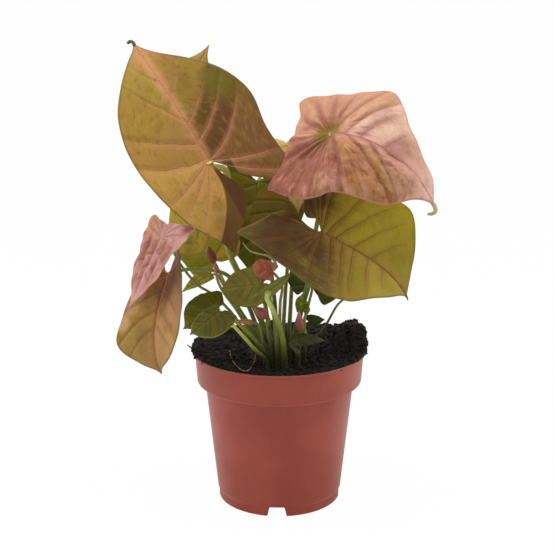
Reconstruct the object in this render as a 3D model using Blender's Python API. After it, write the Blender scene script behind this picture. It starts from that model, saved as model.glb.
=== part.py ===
# Potted syngonium in a round plastic nursery pot.
# Frame: origin at the centre of the pot's underside, +Z up, +X right, front towards -Y.
# The tables below are in millimetres and degrees; objects are built in metres.

import math

import bmesh
import bpy
import numpy as np

MM = 0.001
SHARP_ANGLE = math.radians(35)

# ---- driving dimensions (mm) ----
GAP = 0.3                 # clearance kept between touching pieces

POT_HEIGHT = 106.0
LIP_RADIUS = 60.0
BAND_BOTTOM_Z = 84.4      # lower edge of the rim band
BAND_BOTTOM_RADIUS = 56.5
BAND_TOP_RADIUS = 57.9    # under the turned-out lip
LIP_HEIGHT = 1.4
LIP_EDGE = 0.9            # upright edge of the lip
SHOULDER_HEIGHT = 1.8     # slope from the body out to the band
BODY_TOP_RADIUS = 51.0
BODY_BASE_RADIUS = 43.0
FOOT_HEIGHT = 6.0
FOOT_RADIUS = 42.2
FOOT_EDGE = 0.6           # break of the foot's lower corner
FOOT_STEP = 1.0           # slope from the foot out to the body
CORNER_RISE = 0.5         # the wall's inner corners sit this much higher
WALL = 0.9
FLOOR = 1.2
POT_SEGMENTS = 48

NOTCH_COUNT = 4
NOTCH_TURN = math.radians(-2.2)
NOTCH_TOP_WIDTH = 10.0
NOTCH_FOOT_WIDTH = 12.4
NOTCH_HEIGHT = 6.8
NOTCH_DEPTH = 5.0         # how far a notch runs in under the floor

SOIL_TOP = 102.0          # level ground round the stalks
SOIL_EDGE_RISE = 3.0      # banked up against the wall
SOIL_WALL_TOP = 101.0     # the soil leaves the wall here
HEAP_CENTRE = (46.0, 17.0)
HEAP_HEIGHT = 11.0
HEAP_RADIUS = 25.0
SOIL_SEGMENTS = 32
SOIL_RINGS = 7
SOIL_SLACK = 0.3          # the soil's facets stay this much further in

BLADE_THICKNESS = 0.8
SMALL_BLADE_THICKNESS = 0.6
STALK_POINTS = 14
ROOT_POINTS = 16

# Places of a leaf's outline along the midrib, as a share of its length.
STATIONS = (0.84, 0.68, 0.48, 0.24, 0.0)


# ---- leaf records ----
def half(widths, lobe, spread, sinus, fold=0.0, curl=0.0, curl_growth=0.0, lobe_bend=0.0):
    """One half of a blade.

    widths are half widths at STATIONS and lobe, spread and sinus shape the basal lobe, all as
    shares of the leaf's length; fold, curl and lobe_bend are radians.
    """
    return dict(widths=widths, lobe=lobe, spread=spread, sinus=sinus, fold=fold, curl=curl,
                curl_growth=curl_growth, lobe_bend=lobe_bend)


def leaf(at, length, aim, left, right, droop=0.0, tip_droop=0.0, twist=0.0, stalk=(),
         radii=(1.1, 1.6), colour=(0.20, 0.22, 0.05), small=False):
    """A blade on its stalk.

    at is where they meet, aim is (heading, pitch, roll), and stalk runs from the blade to the foot.
    """
    return dict(at=at, length=length, aim=aim, left=left, right=right, droop=droop,
                tip_droop=tip_droop, twist=twist, stalk=stalk, radii=radii, colour=colour,
                small=small)


TAN = (0.36, 0.20, 0.08)
PINK = (0.55, 0.24, 0.18)
MAUVE = (0.50, 0.24, 0.22)
OLIVE = (0.26, 0.24, 0.06)
GREEN = (0.13, 0.19, 0.04)
DARK_GREEN = (0.06, 0.10, 0.02)
YELLOW_GREEN = (0.38, 0.36, 0.10)
ORANGE_PINK = (0.55, 0.17, 0.09)
STALK_GREEN = (0.25, 0.32, 0.08)
ROOT_TAN = (0.16, 0.10, 0.06)

PLAIN = (0.10, 0.24, 0.36, 0.43, 0.46)    # half widths of a regular arrowhead leaf
SLIM = (0.06, 0.14, 0.21, 0.25, 0.26)

LEAVES = {
    "upper_left": leaf(
        at=(-45.2, -30.0, 240.8), length=102.0, aim=(149.0, 53.0, -49.0),
        droop=0.17, tip_droop=0.38, twist=0.14,
        left=half((0.11, 0.24, 0.37, 0.43, 0.41), lobe=0.58, spread=0.21, sinus=-0.08,
                  fold=0.10, curl=0.21, lobe_bend=0.23),
        right=half((0.08, 0.22, 0.37, 0.45, 0.42), lobe=0.38, spread=0.39, sinus=0.13,
                   fold=0.11, curl=0.19, lobe_bend=-0.29),
        stalk=[(-35.0, -12.0, 231.0), (-34.5, -4.0, 205.0), (-34.5, -5.0, 178.0),
               (-27.0, -7.0, 160.0), (-16.0, -8.0, 136.0)], radii=(1.5, 1.9), colour=TAN),
    "pink_right": leaf(
        at=(31.5, -55.0, 261.2), length=89.0, aim=(-43.0, 10.0, 33.0),
        droop=2.01, tip_droop=-0.24, twist=-0.16,
        left=half((0.12, 0.16, 0.30, 0.52, 0.45), lobe=0.45, spread=0.31, sinus=0.08,
                  fold=0.07, curl=-0.10, curl_growth=-0.18, lobe_bend=-0.44),
        right=half((0.10, 0.31, 0.39, 0.43, 0.50), lobe=0.50, spread=0.38, sinus=0.08,
                   fold=-0.22, curl=-0.23, curl_growth=-0.07, lobe_bend=0.16),
        stalk=[(33.0, -12.0, 240.0), (31.0, 2.0, 222.0), (24.5, -2.0, 190.0), (22.0, -8.0, 170.0),
               (19.0, -11.0, 155.0), (13.5, -10.5, 130.0)], radii=(1.3, 1.9), colour=PINK),
    "lower_right": leaf(
        at=(27.3, -35.0, 194.7), length=95.0, aim=(15.0, -27.0, 56.0),
        droop=0.48, tip_droop=0.32, twist=0.19,
        left=half((0.10, 0.27, 0.44, 0.43, 0.50), lobe=0.32, spread=0.33, sinus=0.05,
                  fold=0.39, curl=0.21, lobe_bend=-1.12),
        right=half((0.07, 0.17, 0.29, 0.45, 0.51), lobe=0.56, spread=0.29, sinus=-0.07,
                   fold=0.22, curl=0.14, curl_growth=-0.12, lobe_bend=0.67),
        stalk=[(25.0, -27.0, 178.0), (20.0, -22.0, 158.0), (14.5, -17.5, 138.0),
               (9.0, -16.0, 118.0)],
        radii=(1.4, 1.9), colour=OLIVE),
    "hanging_left": leaf(
        at=(-72.5, -32.0, 166.7), length=69.0, aim=(-118.0, -55.0, 11.0),
        tip_droop=1.09, twist=-0.75,
        left=half((0.13, 0.26, 0.38, 0.46, 0.43), lobe=0.21, spread=0.29, sinus=0.07,
                  fold=0.49, curl=0.26, curl_growth=-0.13, lobe_bend=-0.38),
        right=half((0.16, 0.36, 0.34, 0.33, 0.34), lobe=0.15, spread=0.20, sinus=0.08),
        stalk=[(-58.7, -24.0, 168.0), (-46.0, -17.5, 165.8), (-34.2, -12.5, 160.5),
               (-22.3, -13.0, 143.0), (-13.0, -17.5, 120.0)], radii=(1.2, 1.7), colour=TAN),
    "young_pink_left": leaf(
        at=(-74.4, -54.0, 195.6), length=48.0, aim=(-141.0, -59.0, -4.0), twist=0.24,
        left=half((0.11, 0.25, 0.36, 0.35, 0.46), lobe=0.30, spread=0.41, sinus=0.06,
                  curl_growth=0.30, lobe_bend=0.54),
        right=half((0.12, 0.26, 0.38, 0.37, 0.42), lobe=0.28, spread=0.35, sinus=0.04,
                   fold=-0.08, curl=-0.10),
        stalk=[(-70.0, -34.0, 186.0), (-66.0, -16.0, 170.0), (-55.0, -14.0, 155.0),
               (-44.0, -12.0, 147.0), (-29.0, -11.0, 130.0)], radii=(1.0, 1.5), colour=MAUVE),
    "small_front": leaf(
        at=(-11.3, -34.0, 160.5), length=30.0, aim=(170.0, -8.0, -59.0), droop=0.15, tip_droop=0.20,
        left=half((0.18, 0.34, 0.46, 0.50, 0.44), lobe=0.20, spread=0.29, sinus=0.10,
                  lobe_bend=-0.14),
        right=half((0.16, 0.31, 0.38, 0.42, 0.49), lobe=0.22, spread=0.32, sinus=0.11,
                   curl=-0.04, lobe_bend=-0.10),
        stalk=[(-6.0, -31.0, 149.0), (-2.5, -31.0, 130.0)], colour=GREEN, small=True),
    "edge_on_front": leaf(
        at=(-8.0, -52.0, 160.0), length=21.5, aim=(27.0, 28.0, -72.0), droop=-0.13,
        left=half(PLAIN, lobe=0.51, spread=0.30, sinus=0.10, fold=0.10, curl=0.05),
        right=half(PLAIN, lobe=0.59, spread=0.30, sinus=0.08, curl=-0.11, lobe_bend=-0.12),
        stalk=[(-5.0, -52.0, 150.0), (-1.0, -47.0, 139.0), (2.0, -41.0, 126.0)],
        radii=(1.6, 2.2), colour=GREEN, small=True),
    "dark_lower_left": leaf(
        at=(-38.7, -50.0, 147.9), length=38.0, aim=(239.0, -2.0, -35.0), droop=0.21, tip_droop=-0.12,
        left=half((0.07, 0.15, 0.20, 0.20, 0.20), lobe=0.08, spread=0.14, sinus=0.05,
                  fold=-0.34, curl=-0.14),
        right=half((0.11, 0.26, 0.36, 0.41, 0.43), lobe=0.43, spread=0.28, sinus=0.06, curl=-0.17),
        stalk=[(-27.5, -43.0, 137.0), (-16.5, -37.0, 124.0)], radii=(1.1, 1.6), colour=GREEN,
        small=True),
    "second_lower_left": leaf(
        at=(-37.8, -64.0, 150.9), length=27.0, aim=(229.0, -18.0, -42.0), droop=0.10, tip_droop=0.15,
        left=half((0.21, 0.38, 0.46, 0.48, 0.46), lobe=0.24, spread=0.33, sinus=0.06, curl=0.10),
        right=half((0.12, 0.19, 0.23, 0.22, 0.19), lobe=0.08, spread=0.13, sinus=0.05),
        stalk=[(-28.5, -56.0, 138.0), (-17.0, -46.0, 121.0)], radii=(1.0, 1.5), colour=GREEN,
        small=True),
    "green_left": leaf(
        at=(-44.9, 6.0, 165.5), length=49.0, aim=(183.0, 53.0, -84.0), droop=0.17, tip_droop=0.18,
        left=half((0.12, 0.25, 0.34, 0.33, 0.33), lobe=0.09, spread=0.24, sinus=-0.03, curl=0.06),
        right=half((0.15, 0.26, 0.37, 0.41, 0.47), lobe=0.14, spread=0.30, sinus=0.09),
        stalk=[(-37.0, 5.0, 150.0), (-22.8, 1.0, 126.0)], radii=(1.0, 1.5), colour=GREEN,
        small=True),
    "narrow_left": leaf(
        at=(-46.0, -6.0, 159.5), length=24.0, aim=(183.0, -28.0, -60.0), droop=0.15, tip_droop=0.20,
        left=half((0.04, 0.08, 0.12, 0.14, 0.14), lobe=0.05, spread=0.09, sinus=0.04),
        right=half(SLIM, lobe=0.08, spread=0.14, sinus=0.05),
        stalk=[(-37.0, -4.0, 150.5), (-21.5, -4.0, 126.0)], radii=(0.9, 1.4),
        colour=YELLOW_GREEN, small=True),
    "dark_centre": leaf(
        at=(-14.6, 28.0, 216.7), length=70.0, aim=(-98.0, -76.0, 6.0),
        left=half((0.08, 0.19, 0.30, 0.34, 0.34), lobe=0.16, spread=0.24, sinus=0.09, fold=0.10),
        right=half((0.09, 0.22, 0.30, 0.33, 0.34), lobe=0.19, spread=0.25, sinus=0.10, fold=0.06),
        stalk=[(-10.5, 30.0, 186.0), (-5.0, 20.0, 150.0), (-2.5, 8.0, 124.0)],
        radii=(1.2, 1.7), colour=DARK_GREEN),
    "olive_centre": leaf(
        at=(6.5, 6.0, 207.6), length=48.0, aim=(-136.0, -46.0, -33.0), droop=-0.20, tip_droop=-0.31,
        twist=-0.12,
        left=half((0.12, 0.22, 0.28, 0.30, 0.26), lobe=0.10, spread=0.16, sinus=0.04, fold=-0.34),
        right=half((0.10, 0.23, 0.35, 0.44, 0.44), lobe=0.19, spread=0.31, sinus=0.11, fold=-0.06),
        stalk=[(7.0, 10.0, 180.0), (4.5, 9.0, 148.0), (3.0, 4.0, 124.0)], radii=(1.1, 1.6),
        colour=OLIVE, small=True),
    "back_top": leaf(
        at=(-70.7, 12.0, 265.9), length=51.0, aim=(11.0, 61.0, 65.0), twist=-0.18,
        left=half((0.07, 0.21, 0.35, 0.41, 0.46), lobe=0.20, spread=0.31, sinus=0.11, fold=-0.11),
        right=half((0.07, 0.22, 0.33, 0.38, 0.49), lobe=0.10, spread=0.31, sinus=0.11, curl=0.06),
        stalk=[(-60.0, 28.0, 240.0), (-46.0, 42.0, 210.0), (-28.0, 40.0, 176.0),
               (-12.0, 24.0, 140.0)], radii=(1.1, 1.7), colour=YELLOW_GREEN, small=True),
    "yellow_middle": leaf(
        at=(6.9, -6.0, 247.9), length=48.0, aim=(-76.0, -61.0, -3.0), twist=-0.25,
        left=half((0.09, 0.24, 0.36, 0.44, 0.47), lobe=0.43, spread=0.32, sinus=0.13,
                  fold=0.10, curl=0.08, lobe_bend=-0.16),
        right=half((0.11, 0.22, 0.33, 0.38, 0.48), lobe=0.08, spread=0.29, sinus=0.11,
                   fold=0.16, curl=0.14, curl_growth=0.12),
        stalk=[(11.0, 8.0, 226.0), (12.5, 18.0, 200.0), (10.0, 21.0, 165.0), (7.5, 10.0, 128.0)],
        radii=(1.1, 1.6), colour=YELLOW_GREEN, small=True),
    "underside_right": leaf(
        at=(21.6, 8.0, 150.1), length=35.0, aim=(72.0, 61.0, -5.0), droop=0.26, tip_droop=0.22,
        left=half(PLAIN, lobe=0.27, spread=0.23, sinus=0.08, fold=0.20, curl=0.12, lobe_bend=-0.07),
        right=half(PLAIN, lobe=0.31, spread=0.29, sinus=0.10, fold=0.15, curl=0.10, lobe_bend=-0.07),
        stalk=[(20.5, 7.0, 137.0), (16.0, 0.5, 120.0)], radii=(0.9, 1.4), colour=DARK_GREEN,
        small=True),
    "far_right": leaf(
        at=(42.5, -14.0, 150.4), length=40.0, aim=(79.0, 53.0, -7.0), droop=0.15, tip_droop=0.14,
        left=half(PLAIN, lobe=0.27, spread=0.29, sinus=0.10, fold=0.11, curl=0.07, lobe_bend=-0.11),
        right=half(PLAIN, lobe=0.21, spread=0.29, sinus=0.10, fold=0.24, curl=0.12, lobe_bend=-0.17),
        stalk=[(39.0, -6.0, 138.0), (28.6, 1.0, 117.0)], radii=(0.7, 1.1), colour=DARK_GREEN,
        small=True),
    "crumpled_small": leaf(
        at=(15.0, -23.5, 141.0), length=12.3, aim=(-91.0, 68.0, 149.0),
        left=half(PLAIN, lobe=0.36, spread=0.29, sinus=0.10, fold=-0.08),
        right=half(PLAIN, lobe=0.32, spread=0.29, sinus=0.10, fold=-0.12, lobe_bend=0.13),
        stalk=[(16.8, -21.5, 128.0)], radii=(0.8, 1.2), colour=GREEN, small=True),
    "tiny_right": leaf(
        at=(19.9, -14.0, 129.5), length=11.0, aim=(1.0, 5.0, 39.0),
        left=half(PLAIN, lobe=0.34, spread=0.29, sinus=0.10),
        right=half(PLAIN, lobe=0.35, spread=0.29, sinus=0.10),
        stalk=[(18.2, -14.0, 119.0)], radii=(0.7, 1.1), colour=DARK_GREEN, small=True),
    "base_right": leaf(
        at=(10.7, -38.0, 124.0), length=20.0, aim=(-7.0, 3.0, 14.0), droop=0.07, tip_droop=0.11,
        left=half(PLAIN, lobe=0.12, spread=0.29, sinus=0.11, fold=-0.05),
        right=half(PLAIN, lobe=0.12, spread=0.29, sinus=0.10, fold=0.05),
        stalk=[(12.0, -36.5, 114.0)], radii=(1.6, 2.2), colour=DARK_GREEN, small=True),
    "unfurling_orange": leaf(
        at=(-4.8, -37.0, 169.6), length=14.5, aim=(190.0, 20.0, -67.0), droop=-0.13, tip_droop=-0.12,
        left=half(PLAIN, lobe=0.19, spread=0.29, sinus=0.11, fold=-0.21, lobe_bend=0.14),
        right=half(PLAIN, lobe=0.22, spread=0.30, sinus=0.11, fold=-0.08),
        stalk=[(1.5, -33.0, 160.0), (0.5, -29.0, 146.0), (0.2, -27.2, 126.0)], radii=(0.9, 1.3),
        colour=ORANGE_PINK,
        small=True),
}

# Rolled young leaves: the axis from base to tip and the widest radius, then the stalk under it.
BUDS = {
    "bud_pink_low": dict(base=(-9.0, -21.5, 138.0), tip=(-15.5, -21.0, 144.5), radius=2.6,
                         stalk=[(-8.2, -22.0, 128.0)], radii=(0.8, 1.3), colour=PINK),
    "bud_orange_left": dict(base=(-16.5, -24.0, 131.0), tip=(-28.5, -25.0, 133.0), radius=2.2,
                            stalk=[(-12.0, -23.5, 124.0)], radii=(0.8, 1.3), colour=ORANGE_PINK),
    "bud_pink_right": dict(base=(13.6, -27.0, 126.0), tip=(13.0, -27.5, 140.5), radius=3.0,
                           stalk=[(13.4, -26.5, 118.0)], radii=(0.9, 1.3), colour=PINK),
    "bud_red_left": dict(base=(-43.2, -21.0, 171.5), tip=(-46.6, -22.5, 183.0), radius=3.2,
                         stalk=[(-41.0, -20.5, 160.0), (-38.0, -18.0, 152.0),
                                (-28.0, -16.5, 137.0)], radii=(0.9, 1.4),
                         colour=(0.30, 0.05, 0.03)),
}

# Where each stalk stands on the soil (x, y).
FEET = {
    "upper_left": (-3.5, -12.0),
    "pink_right": (10.5, -9.5),
    "lower_right": (6.0, -17.0),
    "hanging_left": (-7.5, -20.5),
    "young_pink_left": (-17.0, -13.0),
    "small_front": (-1.5, -32.0),
    "edge_on_front": (3.5, -36.0),
    "dark_lower_left": (-7.0, -31.5),
    "second_lower_left": (-8.5, -37.0),
    "green_left": (-10.5, -3.0),
    "narrow_left": (-10.0, -9.0),
    "dark_centre": (-3.5, 0.0),
    "olive_centre": (2.0, -4.5),
    "back_top": (-6.5, 8.0),
    "yellow_middle": (6.5, 3.0),
    "underside_right": (14.0, -3.0),
    "far_right": (19.0, 2.0),
    "crumpled_small": (17.0, -20.5),
    "tiny_right": (17.5, -14.5),
    "base_right": (12.0, -35.0),
    "unfurling_orange": (0.5, -27.0),
    "bud_pink_low": (-4.5, -26.0),
    "bud_orange_left": (-10.0, -26.0),
    "bud_pink_right": (13.0, -25.5),
    "bud_red_left": (-12.5, -17.0),
}

# Loose roots: points as x, y and the rise over the soil, and a radius.
ROOTS = {
    "root_loop": dict(points=[(-34.5, 3.0, 0.0), (-31.0, -22.0, 0.0), (-22.5, -45.0, 0.6),
                              (-17.0, -24.0, 0.0), (-16.0, -21.0, 4.0), (-15.5, -20.5, 11.0)],
                      radius=0.45),
    "root_stub": dict(points=[(-63.0, -2.0, 2.2), (-60.0, -2.8, 0.75), (-56.0, -4.0, 0.8),
                              (-51.0, -5.5, 0.1), (-46.0, -6.0, 0.0)], radius=0.6),
}


# ---- shared helpers ----
def clear_scene():
    for obj in list(bpy.data.objects):
        bpy.data.objects.remove(obj, do_unlink=True)


def material(name, colour, roughness=0.5):
    mat = bpy.data.materials.new(name)
    mat.use_nodes = True
    shader = mat.node_tree.nodes["Principled BSDF"]
    shader.inputs["Base Color"].default_value = (*colour, 1.0)
    shader.inputs["Roughness"].default_value = roughness
    shader.inputs["Metallic"].default_value = 0.0
    return mat


def add_mesh(name, vertices, faces, mat):
    mesh = bpy.data.meshes.new(name)
    mesh.from_pydata([tuple(v) for v in vertices], [], faces)
    mesh.update()
    mesh.shade_smooth()
    mesh.set_sharp_from_angle(angle=SHARP_ANGLE)
    obj = bpy.data.objects.new(name, mesh)
    bpy.context.scene.collection.objects.link(obj)
    obj.data.materials.append(mat)
    return obj


def smooth_path(points, count):
    """Centripetal Catmull-Rom through the points, read at count places an equal way apart."""
    points = np.array(points, float)
    ends = np.vstack([2 * points[0] - points[1], points, 2 * points[-1] - points[-2]])
    dense = []
    for p0, p1, p2, p3 in zip(ends, ends[1:], ends[2:], ends[3:]):
        t1 = max(np.linalg.norm(p1 - p0) ** 0.5, 1e-6)
        t2 = t1 + max(np.linalg.norm(p2 - p1) ** 0.5, 1e-6)
        t3 = t2 + max(np.linalg.norm(p3 - p2) ** 0.5, 1e-6)
        for t in np.linspace(t1, t2, 24, endpoint=False):
            a1 = (t1 - t) / t1 * p0 + t / t1 * p1
            a2 = (t2 - t) / (t2 - t1) * p1 + (t - t1) / (t2 - t1) * p2
            a3 = (t3 - t) / (t3 - t2) * p2 + (t - t2) / (t3 - t2) * p3
            b1 = (t2 - t) / t2 * a1 + t / t2 * a2
            b2 = (t3 - t) / (t3 - t1) * a2 + (t - t1) / (t3 - t1) * a3
            dense.append((t2 - t) / (t2 - t1) * b1 + (t - t1) / (t2 - t1) * b2)
    dense.append(points[-1])
    dense = np.array(dense)
    run = np.r_[0, np.cumsum(np.linalg.norm(np.diff(dense, axis=0), axis=1))]
    places = np.linspace(0, run[-1], count)
    return np.stack([np.interp(places, run, dense[:, i]) for i in range(points.shape[1])], 1)


def skin_rings(name, bottom, rings, top, mat):
    """A closed solid through equal rings of points in mm, from a bottom pole out and up to a top pole."""
    count = len(rings[0])
    vertices = [bottom] + [point for ring in rings for point in ring] + [top]
    faces = []
    for i in range(count):
        j = (i + 1) % count
        faces.append((0, 1 + j, 1 + i))
        for ring in range(len(rings) - 1):
            low = 1 + ring * count
            high = low + count
            faces.append((low + i, low + j, high + j, high + i))
        last = 1 + (len(rings) - 1) * count
        faces.append((last + i, last + j, len(vertices) - 1))
    return add_mesh(name, np.array(vertices) * MM, faces, mat)


def circle(radius, height, count):
    """Points round the axis; height is a number or a function of x and y."""
    points = []
    for i in range(count):
        angle = 2 * math.pi * i / count
        x = radius * math.cos(angle)
        y = radius * math.sin(angle)
        points.append((x, y, height(x, y) if callable(height) else height))
    return points


def tube(name, points, radii, mat):
    """A round stem along the points, with a radius at each and closed ends."""
    curve = bpy.data.curves.new(name, "CURVE")
    curve.dimensions = "3D"
    curve.bevel_depth = MM
    curve.bevel_resolution = 1
    curve.use_fill_caps = True
    spline = curve.splines.new("POLY")
    spline.points.add(len(points) - 1)
    for point, place, radius in zip(spline.points, points, radii):
        point.co = (*(np.array(place) * MM), 1.0)
        point.radius = radius
    curve.materials.append(mat)
    obj = bpy.data.objects.new(name, curve)
    bpy.context.scene.collection.objects.link(obj)
    return obj


# ---- pot ----
def pot_profile():
    body_top_z = BAND_BOTTOM_Z - SHOULDER_HEIGHT
    lip_base_z = POT_HEIGHT - LIP_HEIGHT
    outside = [(FOOT_RADIUS - FOOT_EDGE, 0.0), (FOOT_RADIUS, FOOT_EDGE), (FOOT_RADIUS, FOOT_HEIGHT),
               (BODY_BASE_RADIUS, FOOT_HEIGHT + FOOT_STEP), (BODY_TOP_RADIUS, body_top_z),
               (BAND_BOTTOM_RADIUS, BAND_BOTTOM_Z), (BAND_TOP_RADIUS, lip_base_z),
               (LIP_RADIUS, POT_HEIGHT - LIP_EDGE), (LIP_RADIUS, POT_HEIGHT)]
    inside = [(LIP_RADIUS - WALL, POT_HEIGHT), (BAND_TOP_RADIUS - WALL, lip_base_z + CORNER_RISE),
              (BAND_BOTTOM_RADIUS - WALL, BAND_BOTTOM_Z + CORNER_RISE),
              (BODY_TOP_RADIUS - WALL, body_top_z + CORNER_RISE),
              (FOOT_RADIUS - WALL, FOOT_HEIGHT), (FOOT_RADIUS - WALL, FLOOR)]
    return outside, inside


def notch_cutter(index):
    """A trapezoid prism that cuts one drain notch through the foot of the wall."""
    angle = -math.pi / 2 + NOTCH_TURN + 2 * math.pi * index / NOTCH_COUNT
    inner = FOOT_RADIUS - NOTCH_DEPTH
    outer = FOOT_RADIUS + NOTCH_DEPTH
    corners = [(-NOTCH_FOOT_WIDTH / 2, -1.0), (NOTCH_FOOT_WIDTH / 2, -1.0),
               (NOTCH_TOP_WIDTH / 2, NOTCH_HEIGHT), (-NOTCH_TOP_WIDTH / 2, NOTCH_HEIGHT)]
    vertices = [(radius, y, z) for radius in (inner, outer) for y, z in corners]
    faces = [(3, 2, 1, 0), (4, 5, 6, 7), (0, 1, 5, 4), (1, 2, 6, 5), (2, 3, 7, 6), (3, 0, 4, 7)]
    cutter = add_mesh(f"notch_cutter_{index}", np.array(vertices) * MM, faces, material("cut", (1, 1, 1)))
    cutter.rotation_euler = (0.0, 0.0, angle)
    cutter.hide_render = True
    cutter.display_type = "WIRE"
    return cutter


def build_pot():
    outside, inside = pot_profile()
    rings = [circle(radius, z, POT_SEGMENTS) for radius, z in outside + inside]
    plastic = material("terracotta_plastic", (0.27, 0.06, 0.04), 0.45)
    pot = skin_rings("pot", (0.0, 0.0, 0.0), rings, (0.0, 0.0, FLOOR), plastic)
    for index in range(NOTCH_COUNT):
        cut = pot.modifiers.new(f"notch_{index}", "BOOLEAN")
        cut.operation = "DIFFERENCE"
        cut.object = notch_cutter(index)


# ---- soil ----
def inner_radius(z):
    """The pot's inside radius at a height, less the clearance."""
    inside = pot_profile()[1][::-1]
    radii, heights = zip(*inside)
    return float(np.interp(z, heights, radii)) - GAP


def soil_height(x, y):
    reach = math.hypot(x, y) / BAND_TOP_RADIUS
    bank = SOIL_EDGE_RISE * max(0.0, reach - 0.55) / 0.45
    distance = math.hypot(x - HEAP_CENTRE[0], y - HEAP_CENTRE[1])
    heap = HEAP_HEIGHT * 0.5 * (1 + math.cos(math.pi * min(1.0, distance / HEAP_RADIUS)))
    return SOIL_TOP + bank + heap


def build_soil():
    """A closed plug: flat underneath, following the wall, with its top banked and heaped."""
    bottom_z = FLOOR + GAP
    shoulder_z = BAND_BOTTOM_Z - SHOULDER_HEIGHT + CORNER_RISE
    band_z = BAND_BOTTOM_Z + CORNER_RISE
    levels = [(bottom_z, bottom_z), (FOOT_HEIGHT + CORNER_RISE, FOOT_HEIGHT), (shoulder_z, shoulder_z),
              (band_z + CORNER_RISE, band_z), (SOIL_WALL_TOP, SOIL_WALL_TOP)]
    rings = [circle(inner_radius(wall_z) - SOIL_SLACK, z, SOIL_SEGMENTS) for z, wall_z in levels]
    top_radius = inner_radius(POT_HEIGHT - LIP_HEIGHT) - 2 * SOIL_SLACK
    for ring in range(SOIL_RINGS):
        rings.append(circle(top_radius * (1.0 - ring / SOIL_RINGS), soil_height, SOIL_SEGMENTS))
    return skin_rings("soil", (0.0, 0.0, bottom_z), rings, (0.0, 0.0, soil_height(0, 0)),
                      material("potting_soil", (0.02, 0.014, 0.01), 0.95))


# ---- leaves ----
def outline(side, count):
    """Flat edge of one half, from the tip round its lobe to the stalk, as shares of the length."""
    w84, w68, w48, w24, w0 = side["widths"]
    lobe, spread, sinus = side["lobe"], side["spread"], side["sinus"]
    points = [(1.0, 0.0), (0.94, 0.022 + 0.1 * (w84 - 0.09))]
    points += list(zip(STATIONS, (w84, w68, w48, w24, w0)))
    points += [(-0.5 * lobe, 0.55 * w0 + 0.45 * spread + 0.02), (-0.88 * lobe, spread + 0.055),
               (-lobe, spread), (-0.86 * lobe, 0.62 * spread + 0.38 * sinus), (-0.5 * lobe, sinus),
               (-0.16 * lobe, 0.045), (0.0, 0.0)]
    return smooth_path(points, count)


def bend(flat, sign, spec):
    """Bend flat points of one half: midrib droop, fold and curl across, and the lobe's own bend."""
    side = spec["left"] if sign > 0 else spec["right"]
    x, y = flat[:, 0], flat[:, 1]
    steps = np.linspace(0, 1, 101)
    slope = spec["droop"] * steps + spec["tip_droop"] * steps ** 2
    along = np.r_[0, np.cumsum((np.cos(slope[1:]) + np.cos(slope[:-1])) / 200)]
    down = np.r_[0, np.cumsum((np.sin(slope[1:]) + np.sin(slope[:-1])) / 200)]
    back = np.minimum(x, 0)
    bend_rate = side["lobe_bend"] if abs(side["lobe_bend"]) > 1e-6 else 1e-6
    rib_x = np.interp(x, steps, along) * (x >= 0) + np.sin(bend_rate * back) / bend_rate
    rib_z = -np.interp(x, steps, down) * (x >= 0) - (1 - np.cos(bend_rate * back)) / bend_rate
    tilt = np.where(x >= 0, np.interp(x, steps, slope), bend_rate * back)
    fold = side["fold"] + sign * spec["twist"] * x
    curl = 2 * (side["curl"] + side["curl_growth"] * x)
    curl = np.where(np.abs(curl) < 1e-4, 1e-4, curl)
    across = (np.sin(fold + curl * y) - np.sin(fold)) / curl
    raised = (np.cos(fold) - np.cos(fold + curl * y)) / curl
    return np.stack([rib_x + raised * np.sin(tilt), sign * across, rib_z + raised * np.cos(tilt)], 1)


def leaf_axes(spec):
    """Columns: along the midrib, to the left, and out of the upper face."""
    heading, pitch, roll = np.radians(spec["aim"])
    ahead = np.array([np.cos(pitch) * np.cos(heading), np.cos(pitch) * np.sin(heading), np.sin(pitch)])
    level = np.array([-np.sin(heading), np.cos(heading), 0.0])
    upright = np.cross(ahead, level)
    left = level * np.cos(roll) + upright * np.sin(roll)
    normal = upright * np.cos(roll) - level * np.sin(roll)
    return np.stack([ahead, left, normal], 1)


def blade_grid(spec, count, rings):
    """Points in mm and faces of the blade's middle sheet, fanned out from the stalk."""
    rays = []
    for sign, side in ((-1, "right"), (1, "left")):
        edge = outline(spec[side], count)[:-1]
        rows = []
        for point in edge:
            flat = np.array([point * share for share in rings])
            rows.append(bend(flat, sign, spec))
        rays += rows[:0:-1] if sign < 0 else rows
    local = np.vstack([np.zeros((1, 3))] + rays)
    points = np.array(spec["at"]) + spec["length"] * local @ leaf_axes(spec).T
    steps = len(rings)
    faces = []
    for i in range(len(rays) - 1):
        a = 1 + i * steps
        b = a + steps
        faces.append((0, a, b))
        for k in range(steps - 1):
            faces.append((a + k, a + k + 1, b + k + 1))
            faces.append((a + k, b + k + 1, b + k))
    return points, faces


def build_blade(name, spec):
    count, rings = (10, (0.4, 0.75, 1.0)) if spec["small"] else (14, (0.3, 0.55, 0.8, 1.0))
    points, faces = blade_grid(spec, count, rings)
    blade = add_mesh(f"{name}_blade", points * MM, faces, material(f"{name}_skin", spec["colour"], 0.45))
    wall = blade.modifiers.new("thickness", "SOLIDIFY")
    wall.thickness = (SMALL_BLADE_THICKNESS if spec["small"] else BLADE_THICKNESS) * MM
    wall.offset = 0.0
    return blade


def stalk_route(name, top, route):
    """Points from under the blade or bud, along the route, down to a foot just over the soil."""
    x, y = FEET[name]
    foot = soil_height(x, y) + GAP
    points = list(top) + list(route) + [(x, y, foot + 5.0), (x, y, foot)]
    dense = smooth_path(points, 241)
    run = np.r_[0, np.cumsum(np.linalg.norm(np.diff(dense, axis=0), axis=1))]
    places = np.r_[0.0, 1.2, 3.0, 5.5, np.linspace(9.0, run[-1] - 3.0, STALK_POINTS - 5), run[-1]]
    path = np.stack([np.interp(places, run, dense[:, i]) for i in range(3)], 1)
    path[-2][:2] = (x, y)
    return path


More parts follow.
